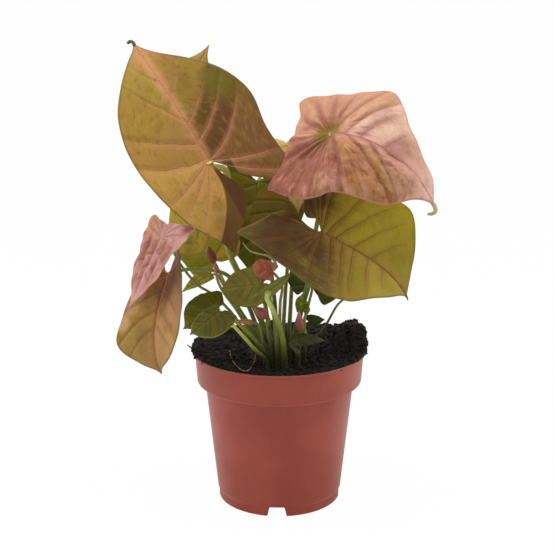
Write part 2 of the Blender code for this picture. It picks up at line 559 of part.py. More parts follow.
def under_blade(spec):
    """The stalk's upper end: square to the blade's underside, then back under the sinus."""
    ahead, _, normal = leaf_axes(spec).T
    at = np.array(spec["at"])
    sag = max(0.0, -spec["left"]["fold"], -spec["right"]["fold"])
    start = BLADE_THICKNESS / 2 + GAP + sag * spec["radii"][0]
    return [at - normal * start, at - normal * (start + 1.2), at - normal * 4.2 - ahead * 3.0]


def build_bud(name, spec):
    """A rolled young leaf: a spindle that swells quickly and runs out to a fine tip."""
    base, tip = np.array(spec["base"]), np.array(spec["tip"])
    shares = [0.0, 0.12, 0.3, 0.5, 0.7, 0.87, 1.0]
    widths = [0.45, 0.8, 1.0, 0.92, 0.66, 0.34, 0.12]
    points = [base + (tip - base) * share for share in shares]
    radii = [spec["radius"] * width for width in widths]
    tube(name, points, radii, material(f"{name}_skin", spec["colour"], 0.5))


def build_stalk(name, top, spec):
    route = stalk_route(name, top, spec["stalk"])
    skin = material(f"{name}_stalk_skin", STALK_GREEN, 0.4)
    tube(f"{name}_stalk", route, np.linspace(*spec["radii"], len(route)), skin)


def build_plant():
    for name, spec in LEAVES.items():
        build_blade(name, spec)
        build_stalk(name, under_blade(spec), spec)
    for name, spec in BUDS.items():
        build_bud(name, spec)
        base, tip = np.array(spec["base"]), np.array(spec["tip"])
        inward = (base - tip) / np.linalg.norm(base - tip)
        build_stalk(name, [base + inward * GAP, base + inward * (GAP + 1.5)], spec)


def build_roots():
    for name, spec in ROOTS.items():
        skin = material(f"{name}_skin", ROOT_TAN, 0.8)
        lift = spec["radius"] + GAP
        path = smooth_path(spec["points"], ROOT_POINTS)
        points = [(x, y, soil_height(x, y) + lift + max(0.0, rise)) for x, y, rise in path]
        tube(name, points, [spec["radius"]] * ROOT_POINTS, skin)


def main():
    clear_scene()
    build_pot()
    build_soil()
    build_plant()
    build_roots()


main()
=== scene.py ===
# Potted syngonium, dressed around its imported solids.
# Millimetres in the dictionaries, metres in the scene; +Z up, front towards -Y. Turns are in degrees,
# and the bends of leaves in radians.
# A colour is written as its red, green and blue screen values, from 0 to 255.
import math
import bpy
import numpy as np
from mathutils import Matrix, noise


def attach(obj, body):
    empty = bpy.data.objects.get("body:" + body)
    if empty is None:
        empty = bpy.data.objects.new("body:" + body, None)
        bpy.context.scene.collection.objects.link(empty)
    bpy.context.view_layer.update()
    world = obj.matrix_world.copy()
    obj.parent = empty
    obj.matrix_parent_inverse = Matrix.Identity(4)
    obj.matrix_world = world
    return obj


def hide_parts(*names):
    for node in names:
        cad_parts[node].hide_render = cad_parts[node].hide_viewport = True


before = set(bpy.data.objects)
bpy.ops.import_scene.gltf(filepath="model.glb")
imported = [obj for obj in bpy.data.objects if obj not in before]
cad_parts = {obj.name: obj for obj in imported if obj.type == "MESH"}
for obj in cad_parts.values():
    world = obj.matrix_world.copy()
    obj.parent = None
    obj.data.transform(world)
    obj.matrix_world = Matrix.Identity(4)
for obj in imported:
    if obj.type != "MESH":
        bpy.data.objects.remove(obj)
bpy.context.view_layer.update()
mm = 0.001
print("frame loaded")


def linear(colour):
    parts = [c / 255 for c in colour]
    return (*[c / 12.92 if c <= 0.04045 else ((c + 0.055) / 1.055) ** 2.4 for c in parts], 1.0)


def plug(tree, slot, value):
    if isinstance(value, Wire):
        tree.links.new(value.socket, slot)
    else:
        slot.default_value = value


# One output socket. Adding, multiplying and so on puts Math nodes in its tree.
class Wire:
    def __init__(self, tree, socket):
        self.tree = tree
        self.socket = socket

    def maths(self, operation, *values):
        node = self.tree.nodes.new("ShaderNodeMath")
        node.operation = operation
        for slot, value in zip(node.inputs, values):
            plug(self.tree, slot, value)
        return Wire(self.tree, node.outputs[0])

    __add__ = __radd__ = lambda self, other: self.maths("ADD", self, other)
    __mul__ = __rmul__ = lambda self, other: self.maths("MULTIPLY", self, other)
    __sub__ = lambda self, other: self.maths("SUBTRACT", self, other)
    __rsub__ = lambda self, other: self.maths("SUBTRACT", other, self)
    __truediv__ = lambda self, other: self.maths("DIVIDE", self, other)
    __pow__ = lambda self, other: self.maths("POWER", self, other)
    __abs__ = lambda self: self.maths("ABSOLUTE", self)
    most = lambda self, other: self.maths("MAXIMUM", self, other)
    least = lambda self, other: self.maths("MINIMUM", self, other)

    def fade(self, start, end):
        # 0 at start, 1 at end, smooth between
        node = self.tree.nodes.new("ShaderNodeMapRange")
        node.interpolation_type = "SMOOTHSTEP"
        for slot, value in zip(node.inputs, (self, start, end)):
            plug(self.tree, slot, value)
        return Wire(self.tree, node.outputs[0])

    def line(self, width):
        # 1 on zero, down to 0 at width
        return 1 - abs(self).fade(0, width)


# A node tree that is being filled in.
class Bench:
    def __init__(self, tree):
        self.tree = tree

    def node(self, kind, sockets=(), result=None, **settings):
        node = self.tree.nodes.new(kind)
        for name, value in settings.items():
            setattr(node, name, value)
        slots = {slot.identifier: slot for slot in node.inputs}
        for name, value in dict(sockets).items():
            plug(self.tree, slots[name], value)
        outs = {slot.identifier: slot for slot in node.outputs}
        return Wire(self.tree, outs[result] if result else node.outputs[0])

    def mixed(self, factor, first, second):
        first, second = (linear(c) if isinstance(c, tuple) else c for c in (first, second))
        return self.node("ShaderNodeMix", {"Factor_Float": factor, "A_Color": first, "B_Color": second},
                         "Result_Color", data_type="RGBA")

    def noise(self, place, scale, detail=3.0, roughness=0.55):
        return self.node("ShaderNodeTexNoise", {"Vector": place, "Scale": scale, "Detail": detail,
                                                "Roughness": roughness}, "Fac")

    def attribute(self, name, result="Fac"):
        return self.node("ShaderNodeAttribute", (), result, attribute_name=name)

    def vector(self, **parts):
        return self.node("ShaderNodeCombineXYZ", parts)

    def scaled(self, vector, scale):
        return self.node("ShaderNodeVectorMath", {"Vector": vector, "Scale": scale}, operation="SCALE")

    def split(self, vector):
        node = self.tree.nodes.new("ShaderNodeSeparateXYZ")
        plug(self.tree, node.inputs[0], vector)
        return [Wire(self.tree, out) for out in node.outputs]


# A material: its fixed values are set on the shader, and varying ones are wired to it.
class Skin(Bench):
    def __init__(self, name, **fixed):
        self.material = bpy.data.materials.new(name)
        self.material.use_nodes = True
        super().__init__(self.material.node_tree)
        self.shader = self.tree.nodes["Principled BSDF"]
        self.wire(**fixed)

    def wire(self, **values):
        for key, value in values.items():
            plug(self.tree, self.shader.inputs[key.replace("_", " ")], value)

    def object(self):
        return self.node("ShaderNodeTexCoord", (), "Object")

    def stretched(self, place, alongZ):
        return self.node("ShaderNodeMapping", {"Vector": place, "Scale": (1, 1, alongZ)})

    def bump(self, height, distance, strength=1.0):
        return self.node("ShaderNodeBump", {"Strength": strength, "Distance": distance, "Height": height})


# A Geometry Nodes tree with one mesh in and one mesh out.
class Shaper(Bench):
    def __init__(self, name, **inputs):
        super().__init__(bpy.data.node_groups.new(name, "GeometryNodeTree"))
        face = self.tree.interface
        for key, kind in dict(Shape="Geometry", **inputs).items():
            face.new_socket(key, in_out="INPUT", socket_type="NodeSocket" + kind)
        face.new_socket("Shape", in_out="OUTPUT", socket_type="NodeSocketGeometry")
        entry = self.tree.nodes.new("NodeGroupInput")
        self.given = {slot.name: Wire(self.tree, slot) for slot in entry.outputs if slot.name}

    def finish(self, shape):
        whole = self.node("GeometryNodeRealizeInstances", {"Geometry": shape})
        coated = self.node("GeometryNodeSetMaterial", {"Geometry": whole, "Material": self.given["Finish"]})
        out = self.tree.nodes.new("NodeGroupOutput")
        self.tree.links.new(coated.socket, out.inputs[0])

    def run(self, piece, **values):
        step = piece.modifiers.new("shape", "NODES")
        step.node_group = self.tree
        keys = {item.name: item.identifier for item in self.tree.interface.items_tree
                if item.in_out == "INPUT"}
        for name, value in values.items():
            step[keys[name]] = value
        return settle(piece)


def settle(piece):
    # turn a piece and its modifiers into a plain mesh
    bpy.context.view_layer.update()
    graph = bpy.context.evaluated_depsgraph_get()
    mesh = bpy.data.meshes.new_from_object(piece.evaluated_get(graph), preserve_all_data_layers=True,
                                           depsgraph=graph)
    piece.modifiers.clear()
    piece.data = mesh
    return piece


def newPiece(name, points, edges=(), faces=(), scale=mm):
    mesh = bpy.data.meshes.new(name)
    mesh.from_pydata([tuple(p) for p in np.array(points) * scale], list(edges), list(faces))
    mesh.update()
    piece = bpy.data.objects.new(name, mesh)
    bpy.context.scene.collection.objects.link(piece)
    return piece


def chain(count):
    # edges that join points into one line
    return [(i, i + 1) for i in range(count - 1)]


def paintPoints(piece, name, values):
    values = np.asarray(values, np.float32)
    kind, key = ("FLOAT_VECTOR", "vector") if values.ndim == 2 else ("FLOAT", "value")
    piece.data.attributes.new(name, kind, "POINT").data.foreach_set(key, values.ravel())


def smoothShade(piece, sharpFrom):
    piece.data.shade_smooth()
    piece.data.set_sharp_from_angle(angle=math.radians(sharpFrom))


def joined(name, pieces):
    # one mesh from several, each with its own materials
    with bpy.context.temp_override(active_object=pieces[0], object=pieces[0],
                                   selected_objects=pieces, selected_editable_objects=pieces):
        bpy.ops.object.join()
    pieces[0].name = name
    pieces[0].data.name = name
    return pieces[0]


def nodeName(name):
    # upperLeft stands for the node upper_left
    return "".join("_" + c.lower() if c.isupper() else c for c in name)


def dress(piece, node):
    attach(piece, "root")
    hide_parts(node)


def unit(vector):
    return vector / np.linalg.norm(vector)


def evenly(path, count):
    run = np.r_[0, np.cumsum(np.linalg.norm(np.diff(path, axis=0), axis=1))]
    places = np.linspace(0, run[-1], count)
    return np.stack([np.interp(places, run, path[:, i]) for i in range(path.shape[1])], 1)


def smoothPath(points, count, fine=24):
    # centripetal curve through the points, read at even steps
    points = np.array(points, float)
    ends = np.vstack([2 * points[0] - points[1], points, 2 * points[-1] - points[-2]])
    dense = []
    for p0, p1, p2, p3 in zip(ends, ends[1:], ends[2:], ends[3:]):
        t1 = max(np.linalg.norm(p1 - p0) ** 0.5, 1e-6)
        t2 = t1 + max(np.linalg.norm(p2 - p1) ** 0.5, 1e-6)
        t3 = t2 + max(np.linalg.norm(p3 - p2) ** 0.5, 1e-6)
        for t in np.linspace(t1, t2, fine, endpoint=False):
            a1 = (t1 - t) / t1 * p0 + t / t1 * p1
            a2 = (t2 - t) / (t2 - t1) * p1 + (t - t1) / (t2 - t1) * p2
            a3 = (t3 - t) / (t3 - t2) * p2 + (t - t2) / (t3 - t2) * p3
            b1 = (t2 - t) / t2 * a1 + t / t2 * a2
            b2 = (t3 - t) / (t3 - t1) * a2 + (t - t1) / (t3 - t1) * a3
            dense.append((t2 - t) / (t2 - t1) * b1 + (t - t1) / (t2 - t1) * b2)
    dense.append(points[-1])
    return evenly(np.array(dense), count)


# Stems, veins, drip tips and roots are all swept by this tree along a path with its own girth.
stem = Shaper("sweptStem", Sides="Int", Finish="Material")
route = stem.node("GeometryNodeMeshToCurve", {"Mesh": stem.given["Shape"]})
girth = stem.node("GeometryNodeInputNamedAttribute", {"Name": "girth"}, data_type="FLOAT")
ring = stem.node("GeometryNodeCurvePrimitiveCircle", {"Resolution": stem.given["Sides"], "Radius": 1})
swept = stem.node("GeometryNodeCurveToMesh", {"Curve": route, "Profile Curve": ring, "Scale": girth,
                                              "Fill Caps": True})
stem.finish(stem.node("GeometryNodeSetShadeSmooth", {"Geometry": swept, "Shade Smooth": True}))


def sweep(name, path, radii, material, sides=12):
    piece = newPiece(name, path, edges=chain(len(path)))
    paintPoints(piece, "girth", np.array(radii) * mm)
    paintPoints(piece, "run", np.linspace(0, 1, len(path)))
    return stem.run(piece, Sides=sides, Finish=material)


pot = dict(lip=60.0, height=106.0, lipDrop=1.4, bandTop=57.9, bandFoot=56.5, bandFootHeight=84.4,
           shoulder=1.8, bodyTop=51.0, bodyFoot=43.0, foot=42.2, footHeight=6.0, wall=0.9, floor=8.4, plate=1.2,
           steps=192, notches=4, notchTop=10.0, notchFoot=12.4, notchHeight=6.8, notchDepth=5.0, notchTurn=-2.2,
           colour=(166, 70, 48), cloud=(155, 62, 42), dust=(208, 150, 132))


def rounded(corners, steps=5):
    # an open profile of (radius, height, softness), with its corners rounded
    spots = [np.array(corner[:2], float) for corner in corners]
    path = [spots[0]]
    for before, corner, after, (_, _, softness) in zip(spots, spots[1:], spots[2:], corners[1:]):
        back, on = before - corner, after - corner
        reach = min(softness, np.linalg.norm(back) * 0.45, np.linalg.norm(on) * 0.45)
        start = corner + back / np.linalg.norm(back) * reach
        end = corner + on / np.linalg.norm(on) * reach
        for t in np.linspace(0, 1, steps):
            path.append((1 - t) ** 2 * start + 2 * t * (1 - t) * corner + t * t * end)
    path.append(spots[-1])
    return np.array(path)


def potSkin():
    skin = Skin("terracottaPlastic", Specular_IOR_Level=0.4, Sheen_Weight=0.35, Sheen_Roughness=0.4)
    place = skin.object()
    height = skin.split(place)[2]
    cloud = skin.noise(place, 28.0, 4.0)
    streak = skin.noise(skin.stretched(place, 0.08), 420.0, 3.0)
    speck = skin.noise(place, 1900.0, 2.0)
    tone = skin.mixed((cloud * 0.85 + streak * 0.15).fade(0.38, 0.62), pot["colour"], pot["cloud"])
    dusty = (speck.fade(0.62, 0.75) * height.fade(0.075, 0.1)) * 0.10
    skin.wire(Base_Color=skin.mixed(dusty, tone, pot["dust"]), Roughness=0.40 + cloud * 0.12 + streak * 0.08,
              Normal=skin.bump(streak * 0.2 + speck * 0.6 + cloud, 0.00005, 0.5))
    return skin.material


def potProfile():
    # (radius, height, softness of the corner), from under the floor up the outside and down the inside
    wall, floor, foot, lip, top = (pot[key] for key in ("wall", "floor", "foot", "lip", "height"))
    bodyFoot, bodyTop, bandFoot, bandTop, bandZ = (
        pot[key] for key in ("bodyFoot", "bodyTop", "bandFoot", "bandTop", "bandFootHeight"))
    under, bodyTopZ, lipZ, rise = floor - pot["plate"], bandZ - pot["shoulder"], top - pot["lipDrop"], 0.5
    return rounded([
        (0, under, 0), (foot - wall, under, 0.4), (foot - wall, 0.0, 0.3), (foot, 0.0, 0.5),
        (foot, pot["footHeight"], 0.5), (bodyFoot, pot["footHeight"] + 1, 0.8), (bodyTop, bodyTopZ, 1.2),
        (bandFoot, bandZ, 0.9), (bandTop, lipZ, 0.3), (lip - 0.3, top - 0.9, 0.3), (lip, top - 0.4, 0.4),
        (lip - 0.35, top, 0.3), (lip - 1.0, top - 0.1, 0.4), (bandTop - wall, lipZ + rise, 0.3),
        (bandFoot - wall, bandZ + rise, 1.0), (bodyTop - wall, bodyTopZ + rise, 1.2),
        (bodyFoot - wall, floor + 1.0, 0.4), (bodyFoot - wall - 0.4, floor, 0.4), (0, floor, 0)])


def notchCutter():
    low, high, deep = -1.0, pot["notchHeight"], pot["notchDepth"]
    wide, narrow = pot["notchFoot"] / 2, pot["notchTop"] / 2
    half = [(wide + 1.4, low), (wide + 1.0, 0.0), (wide + 0.2, 0.7), (narrow + 0.2, high - 0.6),
            (narrow - 0.5, high)]
    ends = half + [(-y, z) for y, z in half[::-1]]
    count = len(ends)
    points = [(r, y, z) for r in (pot["foot"] - deep, pot["foot"] + deep) for y, z in ends]
    return newPiece("notchCutter", points,
                    faces=[tuple(range(count))[::-1], tuple(range(count, 2 * count))]
                    + [((i + 1) % count, (i + 1) % count + count, i + count, i) for i in range(count)])


def makePot():
    # the profile is turned around a circle of radius hub, and the notches are cut through the foot
    hub = 10.0
    profile = potProfile()
    profile = np.stack([profile[:, 0] - hub, -profile[:, 1], np.zeros(len(profile))], 1)
    piece = newPiece("nurseryPot", profile, edges=chain(len(profile)))
    cutter = notchCutter()
    turned = Shaper("turnedPot", Steps="Int", Hub="Float", Notches="Int", Turn="Float", Cutter="Object",
                    Finish="Material")
    given = turned.given
    wire = turned.node("GeometryNodeMeshToCurve", {"Mesh": given["Shape"]})
    circle = turned.node("GeometryNodeCurvePrimitiveCircle",
                         {"Resolution": given["Steps"], "Radius": given["Hub"]})
    shell = turned.node("GeometryNodeCurveToMesh", {"Curve": circle, "Profile Curve": wire})
    shell = turned.node("GeometryNodeMergeByDistance", {"Geometry": shell, "Distance": 0.00001})
    spots = turned.node("GeometryNodeMeshCircle", {"Vertices": given["Notches"], "Radius": 0})
    turn = (turned.node("GeometryNodeInputIndex") / given["Notches"] - 0.25) * (2 * math.pi) + given["Turn"]
    turn = turned.vector(Z=turn)
    knife = turned.node("GeometryNodeObjectInfo", {"Object": given["Cutter"]}, "Geometry")
    knives = turned.node("GeometryNodeInstanceOnPoints", {"Points": spots, "Instance": knife, "Rotation": turn})
    knives = turned.node("GeometryNodeRealizeInstances", {"Geometry": knives})
    turned.finish(turned.node("GeometryNodeMeshBoolean", {"Mesh 1": shell, "Mesh 2": knives},
                              operation="DIFFERENCE", solver="EXACT"))
    turned.run(piece, Steps=pot["steps"], Hub=hub * mm, Notches=pot["notches"],
               Turn=math.radians(pot["notchTurn"]), Cutter=cutter, Finish=potSkin())
    bpy.data.objects.remove(cutter, do_unlink=True)
    smoothShade(piece, 32)
    dress(piece, "pot")


makePot()
print("pot made")


# levels are (ring of the pot, shift in from its wall, height). The soil's edge rises by spill where it
# covers the lip, and by brow at the heap on the rim to the right, turned back by browTurn radians.
soil = dict(top=102.0, bank=3.0, heap=(46.0, 17.0), heapHeight=11.0, heapRadius=25.0,
            rings=64, steps=200, lumps=1.5, crumbs=2600, crumb=2.55, seed=4,
            levels=[("foot", 0.6, 8.7), ("bodyTop", 0.6, 82.6), ("bandFoot", 0.6, 87.0),
                    ("bandTop", 0.4, 101.0), ("bandTop", 0.2, 104.4)],
            edge=104.5, spill=1.75, ragged=0.9, brow=6.5, browTurn=0.28,
            tones=[(0.34, (15, 12, 12)), (0.54, (32, 25, 22)), (0.66, (62, 45, 36)), (0.8, (116, 80, 60))])


def soilHeight(x, y):
    bank = soil["bank"] * max(0.0, math.hypot(x, y) / pot["bandTop"] - 0.55) / 0.45
    away = math.hypot(x - soil["heap"][0], y - soil["heap"][1])
    heap = soil["heapHeight"] * 0.5 * (1 + math.cos(math.pi * min(1.0, away / soil["heapRadius"])))
    return soil["top"] + bank + heap


def soilSurface(x, y):
    # the height with lumps of three sizes: (width in mm, shift of the noise, share)
    rough = 0.0
    for size, shift, share in ((11.0, 3.1, 1.1), (4.5, 7.7, 0.9), (2.0, 1.3, 0.55)):
        rough += noise.noise((x / size + shift, y / size, shift * 1.7)) * share
    return soilHeight(x, y) + soil["lumps"] * rough


def soilSkin():
    skin = Skin("pottingSoil", Specular_IOR_Level=0.25)
    place = skin.object()
    coarse = skin.noise(place, 260.0, 5.0, 0.7)
    fine = skin.noise(place, 1100.0, 4.0, 0.7)
    tone = skin.node("ShaderNodeValToRGB", {"Fac": coarse * 0.55 + fine * 0.45}, "Color")
    stops = tone.socket.node.color_ramp.elements
    while len(stops) < len(soil["tones"]):
        stops.new(0.5)
    for stop, (share, colour) in zip(stops, soil["tones"]):
        stop.position = share
        stop.color = linear(colour)
    skin.wire(Base_Color=tone, Roughness=0.72 + fine * 0.25,
              Normal=skin.bump(coarse + fine * 0.6, 0.0009, 0.9))
    return skin.material


def soilBody(rim):
    steps = soil["steps"]
    turns = [2 * math.pi * i / steps for i in range(steps)]

    def circle(radii, heights):
        return [(r * math.cos(t), r * math.sin(t), z) for r, t, z in zip(radii, turns, heights)]

    points = [(0, 0, soil["levels"][0][2])]
    for ring, shift, z in soil["levels"]:
        points += circle([pot[ring] - pot["wall"] - shift] * steps, [z] * steps)
    # round the sides and the back the soil lies over the lip, and in front it stays inside
    spill = [0.5 + 0.5 * math.tanh((math.sin(t) + 0.62) * 6) for t in turns]
    ragged = [noise.noise((math.cos(t) * 9, math.sin(t) * 9, 2.0))
              + 0.5 * noise.noise((math.cos(t) * 30, math.sin(t) * 30, 5.0)) for t in turns]
    outer = [rim + 0.2 + s * (pot["lip"] - rim + 0.1 + soil["ragged"] * r) for s, r in zip(spill, ragged)]
    steep = [max(0.0, math.cos(t - soil["browTurn"])) ** 6 for t in turns]
    brow = [s * (1.4 + 1.6 * r) + soil["brow"] * k for s, r, k in zip(spill, ragged, steep)]
    points += circle(outer, [soil["edge"] + s * soil["spill"] for s in spill])
    for k in range(soil["rings"]):
        share = 1 - k / soil["rings"]
        for t, o, b in zip(turns, outer, brow):
            x, y = o * share * math.cos(t), o * share * math.sin(t)
            lift = b * max(0.0, (share - 0.8) / 0.2) ** 0.5
            points.append((x, y, soilSurface(x, y) + lift))
    points.append((0, 0, soilSurface(0, 0)))

    faces = []
    rows = (len(points) - 2) // steps
    last = 1 + (rows - 1) * steps
    for i in range(steps):
        j = (i + 1) % steps
        faces.append((0, 1 + j, 1 + i))
        for a in range(1, last, steps):
            faces.append((a + i, a + j, a + steps + j, a + steps + i))
        faces.append((last + i, last + j, len(points) - 1))
    body = newPiece("soilBody", points, faces=faces)
    body.data.shade_smooth()
    return body


def lumpyGrain(skin):
    # a pebble of a few faces, dented by noise
    grain = newPiece("grain", [(0, 0, 0)])
    ball = Shaper("grainShape", Finish="Material")
    ico = ball.node("GeometryNodeMeshIcoSphere", {"Radius": mm, "Subdivisions": 2})
    where = ball.node("GeometryNodeInputPosition")
    dent = ball.node("ShaderNodeTexNoise", {"Vector": where, "Scale": 900.0, "Detail": 2.0}, "Color")
    dent = ball.node("ShaderNodeVectorMath", {"Vector": dent, "Vector_001": (0.5, 0.5, 0.5)},
                     operation="SUBTRACT")
    ball.finish(ball.node("GeometryNodeSetPosition", {"Geometry": ico, "Offset": ball.scaled(dent, 0.0016)}))
    return ball.run(grain, Finish=skin)


def makeSoil():
    rim = pot["bandTop"] - pot["wall"] - 0.4
    body = soilBody(rim)
    skin = soilSkin()
    grain = lumpyGrain(skin)

    # crumbs are grains, scattered over the top with random turns and sizes
    litter = Shaper("scatteredCrumbs", Count="Float", Size="Float", Seed="Int", Grain="Object",
                    Finish="Material")
    given = litter.given
    facing = litter.split(litter.node("GeometryNodeInputNormal"))[2]
    height = litter.split(litter.node("GeometryNodeInputPosition"))[2]
    upper = facing.fade(0.2, 0.3) * height.fade(0.095, 0.1)
    spots = litter.node("GeometryNodeDistributePointsOnFaces",
                        {"Mesh": given["Shape"], "Density": given["Count"] * upper, "Seed": given["Seed"]},
                        "Points", distribute_method="RANDOM")
    shape = litter.node("GeometryNodeObjectInfo", {"Object": given["Grain"]}, "Geometry")
    spin = litter.node("FunctionNodeRandomValue", {"Max": (6.28, 6.28, 6.28), "Seed": given["Seed"]}, "Value",
                       data_type="FLOAT_VECTOR")
    stretch = litter.node("FunctionNodeRandomValue", {"Min": (0.35, 0.3, 0.25), "Max": (1.15, 0.8, 0.6),
                                                      "Seed": 9}, "Value", data_type="FLOAT_VECTOR")
    chance = litter.node("FunctionNodeRandomValue", {"Min_001": 0.25, "Max_001": 1, "Seed": 12}, "Value_001",
                         data_type="FLOAT")
    stretch = litter.scaled(stretch, chance * chance * given["Size"])
    litter.finish(litter.node("GeometryNodeInstanceOnPoints", {"Points": spots, "Instance": shape,
                                                               "Rotation": spin, "Scale": stretch}))
    crumbs = newPiece("soilCrumbs", [(0, 0, 0)])
    crumbs.data = body.data.copy()
    litter.run(crumbs, Count=soil["crumbs"] / (math.pi * (rim * mm) ** 2), Size=soil["crumb"],
               Seed=soil["seed"], Grain=grain, Finish=skin)
    bpy.data.objects.remove(grain, do_unlink=True)
    body.data.materials.append(skin)
    dress(body, "soil")
    dress(crumbs, "soil")


makeSoil()
print("soil made")


# A leaf is drawn flat as shares of its length, x along the midrib and y across, then bent and placed.
# at is where its stalk joins it, and aim its heading, pitch and roll. A side's widths are read at the
# stations, from near the tip back to the stalk, and lobe, spread and sinus draw the basal lobe behind.
# Bends are in radians over one length; pucker, ripple, pleat, funnel, roll and quilt are in mm.
# stalk lists points between the blade and its foot in the soil, and radii are the stalk's at both ends.
stations = (0.84, 0.68, 0.48, 0.24, 0.0)
sideRest = dict(widths=(0.10, 0.24, 0.36, 0.43, 0.46), spread=0.29, sinus=0.1, fold=0.0, curl=0.0,
                curlGrowth=0.0, lobeBend=0.0, blunt=0.055, cleft=0.045)
leafRest = dict(droop=0.0, tipDroop=0.0, twist=0.0, radii=(1.1, 1.6), pucker=(0.25, 0.25), ripple=0.5,
                pleat=0.0, pleatPitch=0.11, funnel=0.0, roll=(0.0, 0.0), crease=0.0, cleftAt=0.5, meld=0.0,
                groove=0.4, quilt=(0.0, 0.0), seam=False, thick=0.45, drip=(), dripSize=(0.85, 0.28),
                edges=60, rings=24, webRays=14, stalkLook={})
# a side vein is (start on the midrib, lean, curve); a basal vein is its angle from the midrib;
# fields are the tones between side veins; a patch is (x, y, radius, tone, hold)
# the darkest leaf tone darkens random mottles, and is painted as shade in creases and fine folds
lookRest = dict(leftVeins=((0.0, 0.1, 0.8), (0.16, 0.35, 0.9), (0.33, 0.5, 1.3), (0.5, 0.6, 2.0)),
                rightVeins=((0.03, 0.15, 0.8), (0.2, 0.4, 0.9), (0.37, 0.5, 1.4), (0.54, 0.6, 2.0)),
                basal=(1.99, 2.4, 2.77), veinWidth=0.0075, ribWide=0.13, ribHold=0.5, greenHold=0.5,
                veinHold=0.6, patches=(), rough=0.5, cloudSize=3.2, grooveShadeHold=0.0, foldPitch=0.11,
                underHold=0.55, leftFields=(), rightFields=(), curveBack=0.3, inner=None, crinkleShadeAndHighlight=0.0,
                mottleHold=0.16, depth=0.0012, rimWide=0.03, rimHold=0.7, fieldSoft=0.03,
                shadeAndMottleTone=(96, 60, 36), creaseShadeHold=0.25)
# ground is painted shade on the stalks just over the soil
stalkRest = dict(top=(160, 168, 80), foot=(124, 136, 54), streak=(188, 190, 104), ground=(46, 44, 26),
                 fade=(0.1, 0.8))


def outline(side, count, cleftAt):
    nearTip, middle = side["widths"][0], side["widths"][-1]
    lobe, spread, sinus = side["lobe"], side["spread"], side["sinus"]
    points = [(1.0, 0.0), (0.94, 0.022 + 0.1 * (nearTip - 0.09))]
    points += list(zip(stations, side["widths"]))
    points += [(-0.5 * lobe, 0.55 * middle + 0.45 * spread + 0.02), (-0.88 * lobe, spread + side["blunt"]),
               (-lobe, spread), (-0.86 * lobe, 0.62 * spread + 0.38 * sinus), (-cleftAt * lobe, sinus),
               (-0.32 * cleftAt * lobe, side["cleft"]), (0.0, 0.0)]
    return smoothPath(points, count)


def bend(flat, sign, leaf):
    # droop along the midrib, fold and curl across it, and the basal lobe's own bend
    side = leaf["left"] if sign > 0 else leaf["right"]
    x, y = flat[:, 0], flat[:, 1]
    steps = np.linspace(0, 1, 101)
    slope = leaf["droop"] * steps + leaf["tipDroop"] * steps ** 2
    along = np.r_[0, np.cumsum((np.cos(slope[1:]) + np.cos(slope[:-1])) / 200)]
    down = np.r_[0, np.cumsum((np.sin(slope[1:]) + np.sin(slope[:-1])) / 200)]
    back = np.minimum(x, 0)
    rate = side["lobeBend"]
    if leaf["meld"]:
        # the two lobes lie together near the middle
        middle = (leaf["left"]["lobeBend"] + leaf["right"]["lobeBend"]) / 2
        rate = middle + (rate - middle) * np.clip(y / leaf["meld"], 0, 1)
    rate = np.where(np.abs(rate) < 1e-6, 1e-6, rate)
    ribX = np.interp(x, steps, along) * (x >= 0) + np.sin(rate * back) / rate
    ribZ = -np.interp(x, steps, down) * (x >= 0) - (1 - np.cos(rate * back)) / rate
    tilt = np.where(x >= 0, np.interp(x, steps, slope), rate * back)
    fold = side["fold"] + sign * leaf["twist"] * x
    curl = 2 * (side["curl"] + side["curlGrowth"] * x)
    curl = np.where(np.abs(curl) < 1e-4, 1e-4, curl)
    across = (np.sin(fold + curl * y) - np.sin(fold)) / curl
    raised = (np.cos(fold) - np.cos(fold + curl * y)) / curl
    return np.stack([ribX + raised * np.sin(tilt), sign * across, ribZ + raised * np.cos(tilt)], 1)


def leafAxes(leaf):
    heading, pitch, roll = np.radians(leaf["aim"])
    ahead = np.array([np.cos(pitch) * np.cos(heading), np.cos(pitch) * np.sin(heading), np.sin(pitch)])
    level = np.array([-np.sin(heading), np.cos(heading), 0.0])
    upright = np.cross(ahead, level)
    left = level * np.cos(roll) + upright * np.sin(roll)
    return np.stack([ahead, left, upright * np.cos(roll) - level * np.sin(roll)], 1)


def placed(leaf, flat, sign=1):
    return np.array(leaf["at"]) + leaf["length"] * bend(flat, sign, leaf) @ leafAxes(leaf).T


def ramp(values):
    return np.clip(values, 0, 1)


def hump(values, width):
    return np.exp(-(values / width) ** 2)


